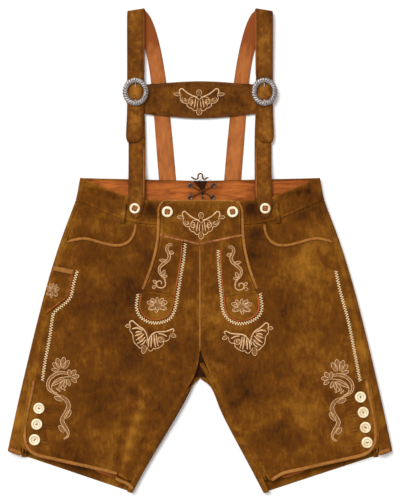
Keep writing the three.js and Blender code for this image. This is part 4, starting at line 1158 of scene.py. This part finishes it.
SEAMS = {   # from, to, number of steps and the welt's width in mm, on the right side
    "hip": ((224, 94), (250, 6), 28, 5.0), "side": ((256, -20), (306, -232), 50, 5.0),
    "inside": ((6, -205), (128, -422), 60, 7.5), "vent": ((309, -246), (324, -376), 36, 7.5),
}
GUSSETS = {     # short welts where seams end or meet: width and route
    "hip_gusset": (5.0, [(243, 26), (247, 17), (251, 7)]),
    "hip_end": (5.0, [(224, 90), (227, 79), (230, 67)]),
    "vent_end": (9.0, [(319, -350), (321.5, -364), (323.5, -380)]),
    "inseam_end": (6.5, [(90, -356), (109, -389), (127, -420)]),
    "vent_gusset": (7.0, [(303, -219), (306, -232), (309, -246)]),
}
HEM_LINING = [(194, -402), (172, -409), (150, -416)]
for seam, (start, end, count, width) in SEAMS.items():
    for side, sign in SIDES.items():
        places = seam_places((start[0] * sign, start[1]), (end[0] * sign, end[1]), count)
        if len(places) > 2:
            welt(f"{seam}_welt_{side}", places, width)
for side, sign in SIDES.items():
    for name, (width, places) in GUSSETS.items():
        welt(f"{name}_{side}", [(x * sign, y) for x, y in places], width)
    sewn(f"hem_lining_{side}", [(8.0, plan_line([(x * sign, y) for x, y in HEM_LINING]))],
         lining, flatness=0.15, sink=0.1, sides=8, taper=0.3)

# %% [markdown]
# The top of the flap is finished with a thin rolled edge that turns down at both corners into
# the piping of its sides. It is drawn like a thread, only wider and in leather.

# %% The rolled top edge of the flap
FLAP_TOP = [(-76, 60), (-76, 72), (-73.5, 82), (-67, 89), (-57, 91.5), (-30, 91.5), (0, 91),
            (30, 91.5), (57, 91), (68, 88), (74.5, 81), (77, 72), (77, 60)]
sewn("flap_top_roll", [(4.2, plan_line(FLAP_TOP, 8))], piping, flatness=0.8, sink=0.2,
     sides=8, taper=0.9)

# %% [markdown]
# The buttons are turned from horn. A profile is spun about the middle: a flat back, a rounded
# rim, a shallow dish and, on the leg buttons, a turned ring. A painted attribute darkens the
# dish, the ring groove and the outer side of the rim: painted shade.

# %% Horn buttons
RINGED = [(0, 2.5), (2.6, 2.5), (4.6, 2.8), (5.4, 3.2), (5.9, 2.8), (6.3, 3.2), (8.2, 3.7),
          (9.6, 3.5), (10.3, 2.7), (10.5, 1.6), (10.0, 0.5), (9.0, 0.1), (0, 0.1)]
DISHED = [(0, 2.2), (3.4, 2.3), (5.2, 2.9), (6.2, 3.5), (7.6, 3.9), (9.2, 3.7), (10.2, 2.8),
          (10.5, 1.6), (10.0, 0.5), (9.0, 0.1), (0, 0.1)]
BUTTON_RADIUS = 10.5
BUTTON_STEPS = 48
RING_REACH = 5.9


def turned_button(node, profile):
    low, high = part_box(node)
    x, y, base = (low.x + high.x) / 2, (low.y + high.y) / 2, low.z
    size = (high.x - low.x) / 2 / BUTTON_RADIUS
    builder = bmesh.new()
    line = [builder.verts.new((r * size, 0, z * MM)) for r, z in profile]
    edges = [builder.edges.new(pair) for pair in zip(line, line[1:])]
    bmesh.ops.spin(builder, geom=line + edges, cent=(0, 0, 0), axis=(0, 0, 1),
                   angle=2 * math.pi, steps=BUTTON_STEPS, use_merge=True)
    bmesh.ops.remove_doubles(builder, verts=builder.verts, dist=0.01 * MM)
    bmesh.ops.recalc_face_normals(builder, faces=builder.faces)
    tarnish_and_shade = []
    for vertex in builder.verts:
        reach = math.hypot(vertex.co.x, vertex.co.y) / size
        # The groove, the dish and the outer side are painted darker: painted shade.
        groove = math.exp(-((reach - RING_REACH) / 0.5) ** 2) if profile is RINGED else 0.0
        dish = 0.35 * smooth_step(5.0, 1.0, reach)
        tarnish_and_shade.append(min(1.0, groove * 0.75 + dish + 0.8 * smooth_step(9.9, 10.6, reach)))
        vertex.co += Vector((x, y, base))
    mesh = smooth_shaded(mesh_from(builder, f"{node}_horn"))
    paint(mesh, "tarnish_and_shade", tarnish_and_shade)
    return link_piece(f"{node}_horn", mesh, [horn], [node]), x / MM, y / MM


LEG_BUTTONS = [f"leg_button_{side}_{n}" for side, count in (("left", 3), ("right", 4))
               for n in range(1, count + 1)]
TOP_BUTTONS = [f"{kind}_button_{side}" for kind in ("strap", "flap") for side in SIDES]
button_places = {}
for node in LEG_BUTTONS + TOP_BUTTONS:
    panels[node], x, y = turned_button(node, RINGED if node in LEG_BUTTONS else DISHED)
    button_places[node] = (x, y)
surface = surface_tree(panels.values())
print("buttons:", len(button_places))

# %% [markdown]
# The leg buttons are sewn on through two holes, each at its own slant. The strap and flap
# buttons are held by a small square of leather set on its corner, sewn at its four sides.

# %% Button threads and leather squares
HOLE_REACH = 1.7        # from the button's middle to a hole, in mm
SQUARE = (8.4 * MM, 8.4 * MM, 1.5 * MM)
SQUARE_TURNS = (20, 40, 38, 52)
eye_threads = []
for index, node in enumerate(LEG_BUTTONS):
    turn = math.radians(35 * index - 20)
    middle = Vector((*button_places[node], 0))
    ahead = Vector((math.cos(turn), math.sin(turn), 0))
    for hole in (-HOLE_REACH, HOLE_REACH):
        spot = middle + ahead * hole
        eye_threads.append((2.0, [spot + across(ahead) * 0.8, spot + Vector((0, 0, 0.35)),
                                  spot - across(ahead) * 0.8]))
    eye_threads.append((1.1, plan_line([
        middle - ahead * HOLE_REACH, middle + Vector((0, 0, 0.3)), middle + ahead * HOLE_REACH])))
sewn("leg_button_threads", eye_threads, dark_thread, flatness=0.9, sink=0.1)

for node, degrees in zip(TOP_BUTTONS, SQUARE_TURNS):
    x, y = button_places[node]
    turn = math.radians(degrees)
    builder = bmesh.new()
    bmesh.ops.create_cube(builder, size=1.0)
    bmesh.ops.scale(builder, vec=SQUARE, verts=builder.verts)
    bmesh.ops.bevel(builder, geom=builder.edges[:], offset=0.5 * MM, segments=2, profile=0.5,
                    affect="EDGES", material=-1)
    bmesh.ops.rotate(builder, cent=(0, 0, 0), verts=builder.verts,
                     matrix=Matrix.Rotation(turn, 3, "Z"))
    top = height_at(x * MM, y * MM)
    bmesh.ops.translate(builder, vec=(x * MM, y * MM, top + 0.5 * MM), verts=builder.verts)
    link_piece(f"{node}_square", mesh_from(builder, f"{node}_square"), [knot_leather])
    rim = []
    for corner in range(4):
        middle = turn + corner * math.pi / 2
        rim.append((1.5, plan_line([(x + reach * math.cos(a), y + reach * math.sin(a), 0.3)
                                    for a, reach in ((middle - 0.5, 4.9), (middle, 5.1),
                                                     (middle + 0.5, 4.9))])))
    sewn(f"{node}_seam", rim, dark_thread, flatness=0.9)

# %% [markdown]
# The buckles are cast silver wreaths. A round section is spun into a ring, stretched to an
# oval, and its surface is raised into overlapping leaves. What lies low is marked as soil,
# which the silver material turns nearly black, as tarnish does.

# %% Cast buckles
WREATH_STEPS, WREATH_SIDES, LEAVES = 336, 20, 14
WREATH_SECTION = (4.3 * MM, 2.1 * MM)    # half width and half height


def leaf_relief(turn, lean):
    """Height of the leaf pattern, 0 to 1, round the ring and across its section."""
    leaf = abs(math.sin(LEAVES * turn + 1.1 * lean))
    vein = 0.5 + 0.5 * math.sin(LEAVES * 4 * turn - 2.2 * lean)
    bead = max(0.0, math.cos(LEAVES * 2 * turn)) ** 4 * smooth_step(0.2, 0.9, abs(lean))
    return min(1.0, 0.72 * leaf ** 0.6 + 0.2 * vein + 0.3 * bead)


def wreath(node):
    low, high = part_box(node)
    middle = (low + high) / 2
    half_x, half_y = (high.x - low.x) / 2, (high.y - low.y) / 2
    rim, base = WREATH_SECTION
    builder = bmesh.new()
    section = bmesh.ops.create_circle(builder, segments=WREATH_SIDES, radius=1.0)["verts"]
    bmesh.ops.rotate(builder, cent=(0, 0, 0),
                     verts=section, matrix=Matrix.Rotation(math.pi / 2, 3, "X"))
    bmesh.ops.scale(builder, vec=(rim, 1, base), verts=section)
    bmesh.ops.translate(builder, vec=(half_x - rim, 0, 0), verts=section)
    bmesh.ops.spin(builder, geom=builder.verts[:] + builder.edges[:], cent=(0, 0, 0),
                   axis=(0, 0, 1), angle=2 * math.pi, steps=WREATH_STEPS, use_merge=True)
    bmesh.ops.remove_doubles(builder, verts=builder.verts, dist=0.001 * MM)
    bmesh.ops.recalc_face_normals(builder, faces=builder.faces)
    tarnish_and_shade = []
    ring = half_x - rim
    for vertex in builder.verts:
        x, y, z = vertex.co
        turn, reach = math.atan2(y, x), math.hypot(x, y)
        lean = (reach - ring) / rim
        relief = leaf_relief(turn + math.pi / 2, lean)
        tarnish_and_shade.append(min(1.0, max(0.0, 1.15 - 1.5 * relief)) * 0.9)
        scallop = 0.9 * MM * abs(math.sin(LEAVES * turn)) * max(0.0, lean)
        point_in = 3.2 * MM * math.exp(-((turn + math.pi / 2) / 0.13) ** 2) * max(0.0, -lean)
        reach += scallop - point_in - 0.5 * MM
        height = z + (relief - 0.4) * 1.3 * MM * smooth_step(-0.6, 0.6, z / base)
        vertex.co = Vector((reach * math.cos(turn),
                            reach * math.sin(turn) * half_y / half_x, height))
        vertex.co += middle
    mesh = smooth_shaded(mesh_from(builder, f"{node}_wreath"))
    paint(mesh, "tarnish_and_shade", tarnish_and_shade)
    return link_piece(f"{node}_wreath", mesh, [silver], [node])


def refinish(node, material):
    """Keeps a node's own shape and gives it a finish."""
    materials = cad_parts[node].data.materials
    materials.clear()
    materials.append(material)


for side in SIDES:
    wreath(f"buckle_{side}")
    refinish(f"buckle_prong_{side}", silver)
for node in [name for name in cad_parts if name.startswith("eyelet")]:
    refinish(node, nickel)
print("buckles and eyelets finished")

# %% [markdown]
# Plain seams are stitched in thread of the leather's own colour: below the pocket piping, along
# the straps, round the chest band and by the waistband. The leg buttons have worked
# buttonholes beside them. Each stitch is a tiny spindle with a dozen faces.

# %% Tone-on-tone stitching
POCKET_LINE = [(-246, 6), (-232, 13), (-219, 17), (-203, 17), (-187, 11), (-171, 6), (-154, 2.5),
               (-137, 3.5), (-125, 11)]
WAIST_LINE = [(-226, 86), (-196, 75), (-160, 62), (-138, 56)]
CHEST_TOP = [(-98, 300), (-62, 304), (0, 307.5), (62, 304), (98, 300)]
CHEST_LOW = [(-98, 256), (-57, 250.5), (0, 245.5), (57, 250.5), (98, 256)]
STRAP_LINES = [[(-131, 205), (-130.5, 265)], [(-131, 320), (-131, 436)],
               [(-105.5, 320), (-105.5, 436)], [(-129, 96), (-131, 190)], [(-104, 96), (-105, 190)]]
rows = stitches(CHEST_TOP) + stitches(CHEST_LOW)
for turned in (list, mirrored):
    for path in [POCKET_LINE, WAIST_LINE] + STRAP_LINES:
        rows += stitches(turned(path), width=0.7)
tooth_marks = []
for top in (True, False):
    path = [(x, band_edge(x * MM, top) / MM + (-1.4 if top else 1.4)) for x in range(-78, 79, 6)]
    tooth_marks += stitches(path, length=1.2, gap=2.1, width=1.2)
sewn("pinked_edge_marks", tooth_marks, strap_inside, flatness=0.5, sink=0.05, sides=4, taper=0.6)
sewn("seam_stitches", rows, brown_thread, flatness=0.7, sink=0.05, sides=4, taper=0.5)

EDGE_X, EDGE_MIDDLE_X = 102.7, 102.6
edge_lines, hole_shade_marks = [], []
for sign in SIDES.values():
    for low, high in ((96, 190), (322, 438)):
        route = [(EDGE_X, low), (EDGE_MIDDLE_X, (low + high) / 2), (EDGE_X, high)]
        edge_lines.append((1.9, plan_line([(x * sign, y) for x, y in route], 12)))
    # Each punched hole is a short dark mark: painted shade inside the hole.
    for y in (284, 331):
        hole_shade_marks.append((2.2, [Vector((119.5 * sign, y + step, 0)) for step in (-0.9, 0.9)]))
sewn("strap_cut_edges", edge_lines, strap_inside, flatness=0.6, sink=0.1)
sewn("hole_shade_marks", hole_shade_marks, dark_thread, flatness=0.3, sink=0.1, taper=0.7)

holes = []
for node in LEG_BUTTONS:
    x, y = button_places[node]
    inward = 1 if x < 0 else -1
    for row in (-3.2, 3.2):
        holes += stitches([(x + 12 * inward, y + row - 4), (x + 25 * inward, y + row - 6)],
                          length=2.0, gap=0.8, width=1.5, smooth=0)
sewn("buttonhole_stitches", holes, hole_thread, flatness=0.7, sink=0.05, sides=4, taper=0.5)
